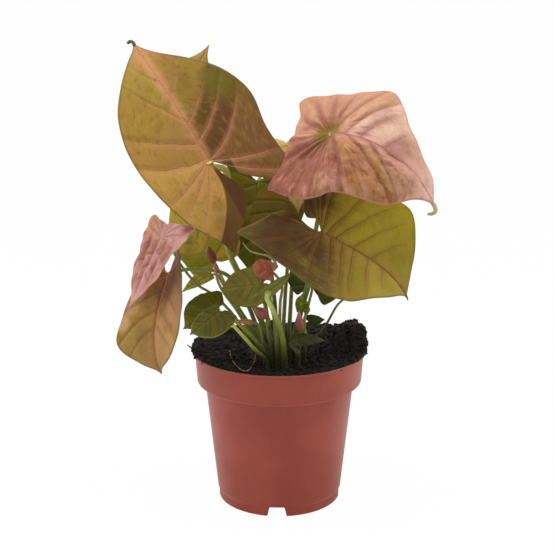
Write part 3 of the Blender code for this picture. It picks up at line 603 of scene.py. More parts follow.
def relief(x, y, share, leaf, look):
    # height in mm and how sunk each point is: swelling between veins, quilting, a midrib, pleats,
    # a funnel at the stalk and a rippled rim; the sunk share is painted as crease shade in the colour
    sinkWidth, ribWidth, funnelAt, funnelWidth, rollFrom = 0.028, 0.018, (-0.06, 0.03), 0.06, 0.86
    left = y > 0
    wide = np.abs(y)
    edge = ramp((1 - share) / 0.25)
    turn = np.arctan2(wide, x)
    reach = np.hypot(x, y)
    sunk = np.zeros(len(x))
    for side, veins in ((left, look["leftVeins"]), (~left, look["rightVeins"])):
        for start, lean, curve in veins:
            gap = x - start - lean * wide - curve * wide * wide
            sunk = np.maximum(sunk, side * hump(gap, sinkWidth))
        for angle in look["basal"]:
            gap = (turn - angle + look["curveBack"] * reach) * reach
            sunk = np.maximum(sunk, side * hump(gap, sinkWidth) * (x < 0.02))
    away = ramp(wide / 0.1)
    wave = np.sin(turn * 7 + x * 9 + leaf["length"]) * 0.6 + np.sin(turn * 13 - x * 5) * 0.4
    bumpy = np.array([noise.noise((a * 5, b * 5, leaf["length"])) for a, b in zip(x, y)])
    quilt = np.array([abs(noise.noise((a * 13, b * 13, 3.0 + leaf["length"]))) for a, b in zip(x, y)])
    pucker, folds = np.where(left, *leaf["pucker"]), np.where(left, *leaf["quilt"])
    height = pucker * ((0.5 - sunk) * away + 0.9 * bumpy) * edge
    height = height - leaf["groove"] * hump(y, ribWidth) * ramp(x * 8)
    height += folds * (2.2 * quilt - 0.5) * edge * away
    low = ramp(sunk * 0.8 + np.clip(-bumpy * 1.6, 0, 0.6) + folds * np.clip(0.7 - 5 * quilt, 0, 0.7)) * edge
    height += leaf["ripple"] * wave * share ** 4 * ramp(wide * 6)
    pleats = np.sin(2 * np.pi * y / leaf["pleatPitch"] + 2.5 * bumpy)
    height += leaf["pleat"] * pleats * edge * ramp((x + 0.1) * 5)
    hole = np.hypot(x - funnelAt[0], y - funnelAt[1])
    height -= leaf["funnel"] * hump(hole, funnelWidth)
    ray = np.sin(turn * 18) * ramp((turn - 1.9) / 0.4) * hump(hole - 0.17, 0.12)
    height += leaf["crease"] * ray
    low = ramp(low + leaf["crease"] * 0.4 * ramp(-ray))
    height -= np.where(left, *leaf["roll"]) * ramp((share - rollFrom) / (1 - rollFrom)) ** 2 * ramp(wide * 8)
    if leaf["seam"]:
        # the lobes lie together behind the stalk
        free = ramp(wide / 0.07 - 0.15) ** 0.7
        free = np.where(x < 0, free, np.maximum(free, ramp(x / 0.05)))
        height, low = height * free, low * free
    return height, low


def readPoints(items, key, count):
    values = np.zeros(count * 3, np.float32)
    items.foreach_get(key, values)
    return values.reshape(-1, 3)


def makeSheet(name, leaf, look):
    rings = np.linspace(0, 1, leaf["rings"] + 1)[1:] ** 0.9
    rays, plans = [], []
    for sign, side in ((-1, "right"), (1, "left")):
        edge = outline(leaf[side], leaf["edges"], leaf["cleftAt"])
        lobeTip = int(np.argmin(edge[:, 0]))
        # rays to the outer edge, then a web of them between the lobe's axis and its inner edge
        fan = [(rings[:, None] * point, rings) for point in edge[:lobeTip + 1]]
        axis = rings[:, None] * edge[lobeTip]
        inner = evenly(edge[lobeTip:][::-1], 200)
        run = rings * 0.985 * (len(inner) - 1)
        rim = np.stack([np.interp(run, np.arange(len(inner)), inner[:, i]) for i in (0, 1)], 1)
        for step in np.linspace(0, 1, leaf["webRays"] + 1)[1:]:
            fan.append((axis + (rim - axis) * step, rings + (1 - rings) * step))
        rows = [bend(flat, sign, leaf) for flat, _ in fan]
        flats = [np.column_stack([flat[:, 0], sign * flat[:, 1], shares]) for flat, shares in fan]
        rays += rows[:0:-1] if sign < 0 else rows
        plans += flats[:0:-1] if sign < 0 else flats
    points = np.array(leaf["at"]) + leaf["length"] * np.vstack([np.zeros((1, 3))] + rays) @ leafAxes(leaf).T
    steps, faces = len(rings), []
    for i in range(len(rays) - 1):
        a, b = 1 + i * steps, 1 + (i + 1) * steps
        faces.append((0, a, b))
        faces += [(a + k, a + k + 1, b + k + 1, b + k) for k in range(steps - 1)]
    piece = newPiece(name, points, faces=faces)
    paintPoints(piece, "plan", np.vstack([np.zeros((1, 3))] + plans))
    mesh = piece.data
    count = len(mesh.vertices)
    plan = readPoints(mesh.attributes["plan"].data, "vector", count)
    normals = readPoints(mesh.vertex_normals, "vector", count)
    points = readPoints(mesh.vertices, "co", count)
    height, low = relief(plan[:, 0], plan[:, 1], plan[:, 2], leaf, look)
    mesh.vertices.foreach_set("co", (points + normals * height[:, None] * mm).astype(np.float32).ravel())
    # the sunk share, kept for the painted crease shade
    paintPoints(piece, "low", low)
    return piece


def leafSkin(name, look, under):
    skin = Skin(name, Specular_IOR_Level=0.1)
    plan = skin.attribute("plan", "Vector")
    x, y, share = skin.split(plan)
    wide = abs(y)
    cloud = skin.noise(plan, look["cloudSize"], 4.0)
    mottle = skin.noise(plan, 17.0, 3.0)
    grain = skin.noise(plan, 90.0, 2.0)

    # each side vein parts two fields, which have tones of their own
    thin = look["veinWidth"] * (1.25 - share * 0.75)
    onLeft = y.fade(-0.003, 0.003)
    turn = wide.maths("ARCTAN2", wide, x)
    reach = (x * x + wide * wide) ** 0.5
    drift = x + (cloud - 0.5) * 0.05
    halves, veins, glow = [], None, None
    for side in ("right", "left"):
        mine = onLeft if side == "left" else 1 - onLeft
        runs = look[side + "Veins"]
        tones = look[side + "Fields"] or [look[side], look[side + "Green"]] * (len(runs) // 2 + 1)
        half = tones[0]
        for (start, lean, curve), tone in zip(runs, tones[1:]):
            gap = drift - start - wide * lean - wide * wide * curve
            if not under:
                border = gap.fade(-0.004 - look["fieldSoft"] * 0.5, look["fieldSoft"])
                half = skin.mixed(border, half, tone)
            vein = gap.line(thin) * mine
            soft = gap.line(0.045) * mine
            veins = vein if veins is None else veins.most(vein)
            glow = soft if glow is None else glow.most(soft)
        halves.append(half)
    for angle in look["basal"]:
        gap = (turn - angle + reach * look["curveBack"]) * reach
        veins = veins.most(gap.line(thin) * x.fade(0.02, -0.02))
        glow = glow.most(gap.line(0.04) * x.fade(0.02, -0.02))
    midrib = y.line(look["veinWidth"] * (1.9 - x)) * x.fade(-0.01, 0.02)
    strong = (veins * share.fade(1.0, 0.7) * (0.45 + 0.55 * (1 - share))).most(midrib)

    if under:
        tone = skin.mixed(cloud.fade(0.4, 0.65) * 0.5, look["back"], look["backGreen"])
        tone = skin.mixed(strong * look["underHold"], tone, look["backVein"])
    else:
        tone = skin.mixed(onLeft, *halves)
        green = skin.mixed(onLeft, look["rightGreen"], look["leftGreen"])
        inner = wide.fade(0.02, 0.12) * (1 - glow * 0.8)
        tone = skin.mixed((cloud.fade(0.42, 0.6) * 0.8 + mottle.fade(0.45, 0.65) * 0.35).least(1.0)
                          * inner * look["greenHold"], tone, green)
        middle = wide.fade(look["ribWide"], 0.0) * x.fade(-0.2, 0.05)
        tone = skin.mixed(middle.most(glow * share.fade(1.0, 0.4) * 0.5) * look["ribHold"], tone, look["rib"])
        tone = skin.mixed(mottle.fade(0.5, 0.68) * 0.22, tone, look["fleck"])
        tone = skin.mixed(mottle.fade(0.48, 0.34) * look["mottleHold"], tone, look["shadeAndMottleTone"])
        for spotX, spotY, radius, colour, hold in look["patches"]:
            away = ((x - spotX) * (x - spotX) + (y - spotY) * (y - spotY)) ** 0.5
            away = away + (cloud - 0.5) * (1.1 * radius)
            tone = skin.mixed(away.fade(radius, radius * 0.3) * hold, tone, colour)
        if look["inner"]:
            # painted shade on the strip of a lobe that turns in along its inner edge
            colour, start, curve, hold = look["inner"]
            past = (0 - x - start).most(0.0)
            shadedStrip = (y - past * past * curve).fade(0.008, -0.008) * y.fade(-0.125, -0.115)
            tone = skin.mixed(shadedStrip * x.fade(-0.03, -0.08) * hold, tone, colour)
        if look["crinkleShadeAndHighlight"]:
            # painted shade and painted highlight in stripes like fine folds that run out from the stalk, mostly
            # on the right half
            rays = skin.noise(skin.vector(X=turn * 9.0, Y=reach * 6.0, Z=onLeft * 7.0), 1.0, 4.0, 0.6)
            where = (1 - onLeft * 0.75).most(reach.fade(0.4, 0.15)) * look["crinkleShadeAndHighlight"] * reach.fade(0.11, 0.2)
            tone = skin.mixed(rays.fade(0.5, 0.64) * where, tone, look["shadeAndMottleTone"])
            tone = skin.mixed(rays.fade(0.47, 0.35) * where * 0.7, tone, look["rib"])
        # painted shade in the grooves of the pleats, as stripes across the blade
        if look["grooveShadeHold"]:
            pitch = 2 * math.pi / look["foldPitch"]
            stripe = (y * pitch).maths("SINE", y * pitch)
            tone = skin.mixed(stripe.fade(0.1, -0.9) * look["grooveShadeHold"] * share.fade(1.0, 0.8)
                              * x.fade(-0.08, 0.12), tone, look["fold"])
        # painted shade in creases and sunk places, from the sunk share
        low = skin.attribute("low")
        tone = skin.mixed(low * look["creaseShadeHold"], tone, look["shadeAndMottleTone"])
        tone = skin.mixed(strong * look["veinHold"], tone, look["vein"])
    tone = skin.mixed(share.fade(1.0 - look["rimWide"], 0.992) * look["rimHold"], tone, look["rim"])
    skin.wire(Base_Color=tone, Roughness=look["rough"] + (mottle - 0.5) * 0.2,
              Normal=skin.bump(strong * (1.0 if under else -0.8) + (1 - glow) * 0.7 + grain * 0.35
                               + mottle * 0.8 + cloud, look["depth"], 0.6))
    return skin.material


def dripSkin(name, colour):
    skin = Skin(name, Specular_IOR_Level=0.3)
    cloud = skin.noise(skin.object(), 500.0, 2.0)
    skin.wire(Base_Color=skin.mixed(cloud.fade(0.3, 0.7) * 0.25, colour, (150, 130, 90)),
              Roughness=0.4 + cloud * 0.2)
    return skin.material


def stalkSkin(name, look):
    skin = Skin(name, Specular_IOR_Level=0.18)
    run = skin.attribute("run")
    place = skin.object()
    streak = skin.noise(skin.stretched(place, 0.15), 900.0, 3.0)
    cloud = skin.noise(place, 60.0, 3.0)
    height = skin.split(place)[2]
    lower = (run + (cloud - 0.5) * 0.4 * look["fade"][1]).fade(*look["fade"])
    tone = skin.mixed(lower, look["top"], look["foot"])
    # pale streaks along the stalk: its own striations, brightened as painted highlight
    tone = skin.mixed(streak.fade(0.45, 0.7) * 0.35, tone, look["streak"])
    # painted shade on the stalk just over the soil, among the crowded crown
    tone = skin.mixed(height.fade(0.128, 0.106) * 0.88, tone, look["ground"])
    skin.wire(Base_Color=tone, Roughness=0.38 + cloud * 0.15, Normal=skin.bump(streak, 0.0003, 0.5))
    return skin.material


def makeStalk(name, top, spec):
    # from its top, through the points between, to a foot that stands upright and is sunk in the soil
    x, y = spec["foot"]
    steps, sunk, upright, knuckle, knuckleLength = 48, 2.5, 8.0, 0.25, 0.03
    ground = soilHeight(x, y) - sunk
    path = smoothPath(list(top) + list(spec["stalk"]) + [(x, y, ground + upright), (x, y, ground)], steps)
    start, end = spec["radii"]
    run = np.linspace(0, 1, len(path))
    radii = start + (end - start) * run ** 1.5
    radii = radii * (1 + knuckle * hump(run, knuckleLength))
    skin = stalkSkin(name + "StalkSkin", {**stalkRest, **spec["stalkLook"]})
    dress(sweep(name + "Stalk", path, radii, skin), nodeName(name) + "_stalk")


def dripPoint(name, leaf, look):
    # the midrib runs on past the tip and thins to a point
    steps, sides, overlap, point = 24, 10, 2.0, (0.9, 0.7, 0.35)
    before, tip = placed(leaf, np.array([[0.985, 0.0], [1.0, 0.0]]))
    path = [before - unit(tip - before) * overlap]
    for step in leaf["drip"]:
        path.append(path[-1] + np.array(step))
    size = np.linspace(*leaf["dripSize"], steps)
    size[-3:] *= point
    skin = dripSkin(name + "DripSkin", look["dripTone"])
    return sweep(name + "Drip", smoothPath(path, steps), size, skin, sides)


def makeLeaf(name, leaf):
    look = {**lookRest, **leaf["look"]}
    for key in ("", "Green"):
        look.setdefault("right" + key, look.get("left" + key))
    leaf = {**leafRest, **leaf}
    for side in ("left", "right"):
        leaf[side] = {**sideRest, **leaf[side]}
    upper = leafSkin(name + "Upper", look, False)
    lower = leafSkin(name + "Under", look, True)
    blade = makeSheet(name + "Blade", leaf, look)
    blade.data.materials.append(upper)
    blade.data.materials.append(lower)
    wall = blade.modifiers.new("thickness", "SOLIDIFY")
    wall.thickness = leaf["thick"] * mm
    wall.offset = 0.0
    wall.material_offset = 1
    wall.material_offset_rim = 1
    settle(blade)
    blade.data.shade_smooth()

    # the midrib stands proud underneath, and thins from the stalk to the tip
    steps, sides, ribShare, ribEnd = 30, 8, 0.009, 0.15
    ribLine = placed(leaf, np.column_stack([np.linspace(0.01, 0.97, steps), np.zeros(steps)]))
    ahead, left, normal = leafAxes(leaf).T
    up = np.cross(np.gradient(ribLine, axis=0), left)
    up = up / np.linalg.norm(up, axis=1)[:, None]
    size = np.linspace(leaf["length"] * ribShare, ribEnd, steps)
    below = ribLine - up * (size * 0.55 + 0.35)[:, None]
    parts = [blade, sweep(name + "Rib", below, size, lower, sides)]
    if leaf["drip"]:
        parts.append(dripPoint(name, leaf, look))
    dress(joined(name + "Blade", parts), nodeName(name) + "_blade")
    at = np.array(leaf["at"])
    makeStalk(name, [at - normal * 0.1, at - normal * 1.6, at - normal * 4.2 - ahead * 3.0], leaf)


greenUnder = dict(back=(104, 112, 58), backGreen=(84, 96, 42), backVein=(140, 146, 88))
tanUnder = dict(back=(150, 140, 84), backGreen=(128, 126, 62), backVein=(176, 160, 110))

upperLeft = dict(
    at=(-45.2, -30, 240.8), length=102, aim=(149, 53, -49), droop=0.17, tipDroop=0.38, twist=0.14,
    groove=-0.3, pucker=(0.35, 0.3), edges=110, rings=40, dripSize=(1.2, 1.1),
    drip=[(-0.6, 0, 1.8), (-1.6, 0.2, 1.2), (-1.8, 0.3, -0.6), (-0.3, 0.3, -1.2)],
    left=dict(
        widths=(0.11, 0.24, 0.37, 0.43, 0.41), lobe=0.58, spread=0.165, sinus=-0.1, fold=0.1, curl=0.21,
        lobeBend=0.23, blunt=0.02, cleft=-0.025),
    right=dict(
        widths=(0.08, 0.22, 0.37, 0.45, 0.42), lobe=0.38, spread=0.39, sinus=0.14, fold=0.11, curl=0.19,
        lobeBend=-0.29, cleft=0.06),
    foot=(-3.5, -12), radii=(2.3, 1.9),
    stalk=[(-35, -12, 231), (-34.5, -4, 205), (-34.5, -5, 178), (-27, -7, 160), (-16, -8, 136)],
    stalkLook=dict(top=(206, 196, 92), foot=(130, 142, 54), fade=(0.3, 0.7)),
    look=dict(
        **tanUnder, leftGreen=(156, 128, 46), rightGreen=(122, 90, 34), rib=(214, 150, 106),
        vein=(206, 140, 92), rimHold=0.5, creaseShadeHold=0.1, mottleHold=0.28, rim=(116, 92, 42),
        fleck=(192, 150, 86), dripTone=(70, 98, 34),
        leftVeins=((0.01, 0, 0.75), (0.12, 0.45, 0.28), (0.3, 1.35, 1), (0.6, 1.2, 5)),
        rightVeins=((0, 0.05, 1.9), (0.14, 0.3, 1.6), (0.27, 0.45, 1.4), (0.48, 0.55, 4.5)),
        basal=(2.09, 2.4, 2.68),
        # the field tones alternate lighter and darker, and the right half's are darker: leaf colour with
        # painted light and shade of the facets
        leftFields=((204, 156, 82), (180, 136, 66), (165, 132, 52), (169, 138, 55), (178, 138, 70)),
        rightFields=((132, 92, 52), (104, 68, 32), (100, 74, 26), (152, 122, 48), (170, 130, 62)),
        patches=[
            # the three small olive-brown patches along the basal lobe are painted shade of its crease
            (0.95, 0, 0.25, (196, 145, 99), 0.6), (0.4, -0.36, 0.2, (112, 99, 30), 0.8),
            (-0.28, 0.09, 0.07, (126, 98, 40), 0.45), (-0.39, 0.13, 0.09, (122, 94, 36), 0.45),
            (-0.48, 0.18, 0.07, (128, 98, 40), 0.45), (0.2, 0.08, 0.2, (170, 126, 72), 0.6)],
        # inner is the painted shade on the lobe's turned-in strip
        inner=((84, 52, 26), 0.12, 1.5, 0.85), ribWide=0.06, ribHold=0.8))
makeLeaf("upperLeft", upperLeft)

pinkRight = dict(
    at=(31.5, -55, 261.2), length=89, aim=(-43, 10, 33), droop=2.01, tipDroop=-0.24, twist=-0.16,
    seam=True, quilt=(0.2, 0.8), dripSize=(1.5, 0.9), cleftAt=0.72, meld=0.15, pucker=(0.6, 1.5),
    ripple=1, funnel=2.6, crease=1, roll=(0, 2.5), edges=110, rings=44,
    drip=[(1.2, -0.8, -2.6), (0.2, 0, -2.4), (-2.2, 0.6, -1.6), (-2.6, 0.6, -0.2)],
    left=dict(
        widths=(0.12, 0.16, 0.3, 0.52, 0.45), lobe=0.45, spread=0.31, sinus=-0.006, fold=0.07, curl=-0.1,
        curlGrowth=-0.18, lobeBend=-0.44, cleft=-0.006),
    right=dict(
        widths=(0.1, 0.31, 0.39, 0.43, 0.5), lobe=0.5, spread=0.38, sinus=-0.006, fold=-0.22, curl=-0.23,
        curlGrowth=-0.07, lobeBend=0.16, blunt=0.02, cleft=-0.006),
    foot=(10.5, -9.5), radii=(1.3, 1.9),
    stalk=[
        (33, -12, 240), (31, 2, 222), (24.5, -2, 190), (22, -8, 170), (19, -11, 155), (13.5, -10.5, 130)],
    stalkLook=dict(top=(176, 168, 96), foot=(116, 126, 60)),
    look=dict(
        leftGreen=(206, 150, 108), rightGreen=(172, 122, 76), rib=(222, 162, 148), vein=(186, 110, 100),
        rim=(206, 132, 118), fleck=(216, 168, 148), back=(190, 132, 112), backGreen=(170, 124, 92),
        backVein=(206, 150, 130), dripTone=(222, 190, 152), ribHold=0.6, shadeAndMottleTone=(138, 74, 60),
        creaseShadeHold=0.55, crinkleShadeAndHighlight=0.7, mottleHold=0.14,
        leftVeins=((0, 0.17, 0.38), (0.12, 0.12, 0.75), (0.24, 0.07, 1.1), (0.42, 0.2, 1.3)),
        rightVeins=((0, 0.91, -0.26), (0.14, 1.73, 0.33), (0.3, 1.6, 0.3)), basal=(1.75, 2.1, 2.45, 2.8),
        leftFields=((212, 158, 126), (220, 166, 130), (242, 200, 176), (236, 192, 170), (218, 168, 148)),
        rightFields=((174, 116, 92), (188, 134, 82), (184, 138, 74), (208, 156, 122)),
        patches=[
            (-0.35, -0.35, 0.34, (160, 98, 80), 0.8), (-0.05, 0.03, 0.17, (128, 114, 10), 1),
            (0.95, 0.05, 0.35, (240, 200, 182), 0.85)]))
makeLeaf("pinkRight", pinkRight)

lowerRight = dict(
    at=(27.3, -35, 194.7), length=95, aim=(15, -27, 56), droop=0.48, tipDroop=0.32, twist=0.19,
    pucker=(0.35, 0.4), edges=110, rings=40, drip=[(1, -0.4, -2), (0.3, -0.2, -1.6)],
    left=dict(
        widths=(0.1, 0.27, 0.44, 0.43, 0.5), lobe=0.32, spread=0.33, sinus=0.05, fold=0.39, curl=0.21,
        lobeBend=-1.12, cleft=0.075),
    right=dict(
        widths=(0.07, 0.17, 0.29, 0.45, 0.51), lobe=0.56, sinus=-0.07, fold=0.22, curl=0.14,
        curlGrowth=-0.12, lobeBend=0.67, blunt=0.025, cleft=0),
    foot=(6, -17), radii=(1.4, 1.9),
    stalk=[(25, -27, 178), (20, -22, 158), (14.5, -17.5, 138), (9, -16, 118)],
    stalkLook=dict(top=(147, 150, 72), foot=(102, 117, 48)),
    look=dict(
        leftGreen=(128, 120, 30), rightGreen=(136, 134, 36), rib=(165, 130, 59), vein=(134, 84, 40),
        rim=(106, 108, 36), fleck=(168, 152, 62), back=(121, 101, 47), backGreen=(101, 92, 36),
        backVein=(154, 132, 69), dripTone=(106, 108, 36), ribHold=0.55,
        leftVeins=((0.02, 0.46, -0.22), (0.1, 0.62, 0.15), (0.25, 0.6, 0.4), (0.42, 0.6, 0.5)),
        rightVeins=(
            (0.07, 0, 0), (0.17, -0.08, 0.15), (0.27, -0.2, 0.35), (0.4, -0.1, 0.3), (0.56, 0, 0.4)),
        basal=(1.8, 2.1, 2.27, 2.6), curveBack=0.1, fieldSoft=0.1, shadeAndMottleTone=(110, 74, 34), creaseShadeHold=0.3,
        leftFields=((158, 132, 30), (174, 154, 34), (178, 160, 38), (164, 145, 37), (160, 137, 37)),
        rightFields=(
            (98, 72, 34), (146, 112, 40), (164, 134, 46), (162, 136, 42), (176, 150, 54), (172, 152, 52)),
        # the two dark brown patches on the lobes are their brown colour with painted shade where they curve
        # away
        patches=[(-0.35, -0.2, 0.36, (72, 44, 22), 0.8), (-0.2, 0.2, 0.26, (58, 34, 16), 0.92)]))
makeLeaf("lowerRight", lowerRight)

hangingLeft = dict(
    at=(-72.5, -32, 166.7), length=69, aim=(-118, -55, 11), tipDroop=1.09, twist=-0.75,
    pucker=(0.18, 0.2), edges=90, rings=34,
    left=dict(
        widths=(0.13, 0.26, 0.38, 0.46, 0.43), lobe=0.21, sinus=0.07, fold=0.49, curl=0.26,
        curlGrowth=-0.13, lobeBend=-0.38),
    right=dict(widths=(0.16, 0.36, 0.34, 0.33, 0.34), lobe=0.15, spread=0.2, sinus=0.08),
    foot=(-7.5, -20.5), radii=(1.2, 1.7),
    stalk=[
        (-58.7, -24, 168), (-46, -17.5, 165.8), (-34.2, -12.5, 160.5), (-22.3, -13, 143),
        (-13, -17.5, 120)],
    stalkLook=dict(top=(158, 164, 84), foot=(108, 124, 56)),
    look=dict(
        leftGreen=(158, 124, 46), rightGreen=(150, 122, 44), rib=(186, 132, 82), vein=(196, 140, 98),
        rim=(122, 96, 62), fleck=(192, 152, 104), back=(168, 134, 88), backGreen=(146, 124, 66),
        backVein=(190, 150, 110), fieldSoft=0.14, ribWide=0.2, ribHold=0.6, rimHold=0.5,
        leftFields=((158, 112, 60), (168, 124, 62), (176, 132, 64), (206, 164, 100), (214, 168, 110)),
        rightFields=((150, 108, 56), (166, 128, 60), (174, 138, 60), (184, 148, 82), (196, 156, 96)),
        patches=[
            (0.3, 0.3, 0.28, (208, 158, 116), 0.8), (0.7, 0.12, 0.2, (190, 144, 98), 0.5),
            # the upturned edge's pale band with painted highlight
            (0.52, -0.33, 0.1, (214, 172, 132), 0.75), (0.38, -0.27, 0.09, (206, 164, 124), 0.6),
            # painted shadow cast by the young pink leaf above
            (0.1, 0.02, 0.34, (100, 54, 24), 0.85)]))
makeLeaf("hangingLeft", hangingLeft)

youngPinkLeft = dict(
    at=(-74.4, -54, 195.6), length=48, aim=(-141, -59, -4), twist=0.24, seam=True, cleftAt=0.66,
    meld=0.15, pucker=(0, 0), ripple=0.8, pleat=1, pleatPitch=0.17, edges=110, rings=40,
    left=dict(
        widths=(0.11, 0.25, 0.36, 0.35, 0.46), lobe=0.3, spread=0.41, sinus=-0.006, curlGrowth=0.3,
        lobeBend=0.54, cleft=-0.006),
    right=dict(
        widths=(0.12, 0.26, 0.38, 0.37, 0.42), lobe=0.28, spread=0.35, sinus=-0.006, fold=-0.08,
        curl=-0.1, cleft=-0.006),
    foot=(-17, -13), radii=(0.75, 1.2),
    stalk=[(-70, -34, 186), (-66, -16, 170), (-55, -14, 155), (-44, -12, 147), (-29, -11, 130)],
    stalkLook=dict(top=(196, 168, 106), foot=(136, 146, 66), fade=(0.02, 0.2)),
    look=dict(
        left=(206, 152, 142), leftGreen=(186, 136, 112), right=(200, 146, 132),
        rightGreen=(180, 128, 102), rib=(220, 168, 158), vein=(180, 111, 113), rim=(210, 141, 137),
        fleck=(233, 188, 182), back=(203, 148, 131), backGreen=(184, 133, 105), backVein=(220, 167, 152),
        # fold is the painted shade in the pleat grooves
        cloudSize=4.5, shadeAndMottleTone=(140, 84, 88), creaseShadeHold=0.3, crinkleShadeAndHighlight=0.4, grooveShadeHold=0.6, foldPitch=0.17,
        fold=(160, 90, 96), veinHold=0.3,
        patches=[
            (-0.15, -0.34, 0.32, (212, 156, 108), 0.9), (-0.28, 0.4, 0.2, (98, 49, 32), 0.9),
            (0.45, -0.36, 0.12, (199, 141, 139), 0.7)]))
makeLeaf("youngPinkLeft", youngPinkLeft)

smallFront = dict(
    at=(-11.3, -34, 160.5), length=30, aim=(170, -8, -59), droop=0.15, tipDroop=0.2, ripple=0.3,
    left=dict(widths=(0.18, 0.34, 0.46, 0.5, 0.44), lobe=0.2, lobeBend=-0.14),
    right=dict(
        widths=(0.16, 0.31, 0.38, 0.42, 0.49), lobe=0.22, spread=0.32, sinus=0.11, curl=-0.04,
        lobeBend=-0.1),
    foot=(-1.5, -32), stalk=[(-6, -31, 149), (-2.5, -31, 130)],
    look=dict(
        **greenUnder, left=(150, 138, 60), leftGreen=(138, 138, 58), right=(148, 130, 60),
        rightGreen=(138, 136, 60), rib=(172, 160, 73), vein=(185, 180, 88), rim=(113, 123, 46),
        fleck=(180, 166, 78)))
makeLeaf("smallFront", smallFront)

edgeOnFront = dict(
    at=(-8, -52, 160), length=21.5, aim=(27, 28, -72), droop=-0.13, ripple=0.2,
    left=dict(widths=(0.08, 0.17, 0.25, 0.3, 0.3), lobe=0.51, spread=0.22, fold=0.1, curl=0.05),
    right=dict(
        widths=(0.06, 0.12, 0.18, 0.22, 0.24), lobe=0.59, spread=0.18, sinus=0.08, curl=-0.11,
        lobeBend=-0.12),
    foot=(3.5, -36), radii=(1.6, 2.2), stalk=[(-5, -52, 150), (-1, -47, 139), (2, -41, 126)],
    stalkLook=dict(top=(222, 226, 124), foot=(122, 136, 52), fade=(0, 0.55)),
    look=dict(
        left=(152, 148, 66), leftGreen=(140, 142, 58), rightGreen=(136, 140, 54), rib=(172, 166, 82),
        vein=(158, 156, 96), rim=(116, 123, 62), fleck=(156, 152, 89), back=(152, 148, 68),
        backGreen=(138, 140, 56), backVein=(176, 172, 92)))
makeLeaf("edgeOnFront", edgeOnFront)

darkLowerLeft = dict(
    at=(-38.7, -50, 147.9), length=38, aim=(239, -2, -35), droop=0.21, tipDroop=-0.12,
    left=dict(
        widths=(0.07, 0.15, 0.2, 0.2, 0.2), lobe=0.08, spread=0.14, sinus=0.05, fold=-0.34, curl=-0.14),
    right=dict(widths=(0.11, 0.26, 0.36, 0.41, 0.43), lobe=0.43, spread=0.28, sinus=0.06, curl=-0.17),
    foot=(-7, -31.5), stalk=[(-27.5, -43, 137), (-16.5, -37, 124)],
    stalkLook=dict(top=(156, 164, 51), foot=(104, 118, 35)),
    look=dict(
        **greenUnder, left=(92, 92, 12), leftGreen=(80, 84, 8), right=(96, 94, 12),
        rightGreen=(84, 84, 8), rib=(112, 110, 34), vein=(136, 134, 53), rim=(72, 76, 21),
        fleck=(110, 108, 36), veinHold=0.4))
makeLeaf("darkLowerLeft", darkLowerLeft)

secondLowerLeft = dict(
    at=(-37.8, -64, 150.9), length=27, aim=(229, -18, -42), droop=0.1, tipDroop=0.15,
    left=dict(widths=(0.21, 0.38, 0.46, 0.48, 0.46), lobe=0.24, spread=0.33, sinus=0.06, curl=0.1),
    right=dict(widths=(0.12, 0.19, 0.23, 0.22, 0.19), lobe=0.08, spread=0.13, sinus=0.05),
    foot=(-8.5, -37), radii=(1, 1.5), stalk=[(-28.5, -56, 138), (-17, -46, 121)],
    stalkLook=dict(top=(212, 212, 108), foot=(124, 138, 56)),
    look=dict(
        **greenUnder, left=(94, 91, 28), leftGreen=(82, 83, 22), right=(98, 98, 34),
        rightGreen=(86, 87, 26), rib=(110, 106, 40), vein=(112, 112, 50), rim=(150, 146, 78),
        fleck=(108, 106, 52), veinHold=0.3, rimWide=0.06))
makeLeaf("secondLowerLeft", secondLowerLeft)

greenLeft = dict(
    at=(-44.9, 6, 165.5), length=49, aim=(183, 53, -84), droop=0.17, tipDroop=0.18,
    left=dict(widths=(0.12, 0.25, 0.34, 0.33, 0.33), lobe=0.09, spread=0.24, sinus=-0.03, curl=0.06),
    right=dict(widths=(0.15, 0.26, 0.37, 0.41, 0.47), lobe=0.14, spread=0.3, sinus=0.09),
    foot=(-10.5, -3), radii=(1, 1.5), stalk=[(-37, 5, 150), (-22.8, 1, 126)],
    look=dict(
        **greenUnder, left=(228, 192, 84), leftGreen=(176, 180, 54), right=(234, 192, 88),
        rightGreen=(188, 180, 58), rib=(224, 198, 84), vein=(240, 222, 112), rim=(152, 150, 50),
        fleck=(224, 176, 96), cloudSize=6,
        patches=[(-0.3, 0.3, 0.3, (128, 136, 38), 0.8), (-0.3, -0.3, 0.3, (128, 136, 38), 0.8)]))
makeLeaf("greenLeft", greenLeft)

narrowLeft = dict(
    at=(-46, -6, 159.5), length=24, aim=(183, -28, -60), droop=0.15, tipDroop=0.2, ripple=0.2,
    pucker=(0.15, 0.15),
    left=dict(widths=(0.04, 0.08, 0.12, 0.14, 0.14), lobe=0.05, spread=0.09, sinus=0.04),
    right=dict(widths=(0.06, 0.14, 0.21, 0.25, 0.26), lobe=0.08, spread=0.14, sinus=0.05),
    foot=(-10, -9), radii=(0.9, 1.4), stalk=[(-37, -4, 150.5), (-21.5, -4, 126)],
    look=dict(
        **greenUnder, left=(172, 162, 62), leftGreen=(152, 148, 50), right=(168, 155, 59),
        rightGreen=(148, 144, 49), rib=(189, 174, 70), vein=(192, 180, 76), rim=(121, 113, 34),
        fleck=(186, 174, 73)))
makeLeaf("narrowLeft", narrowLeft)

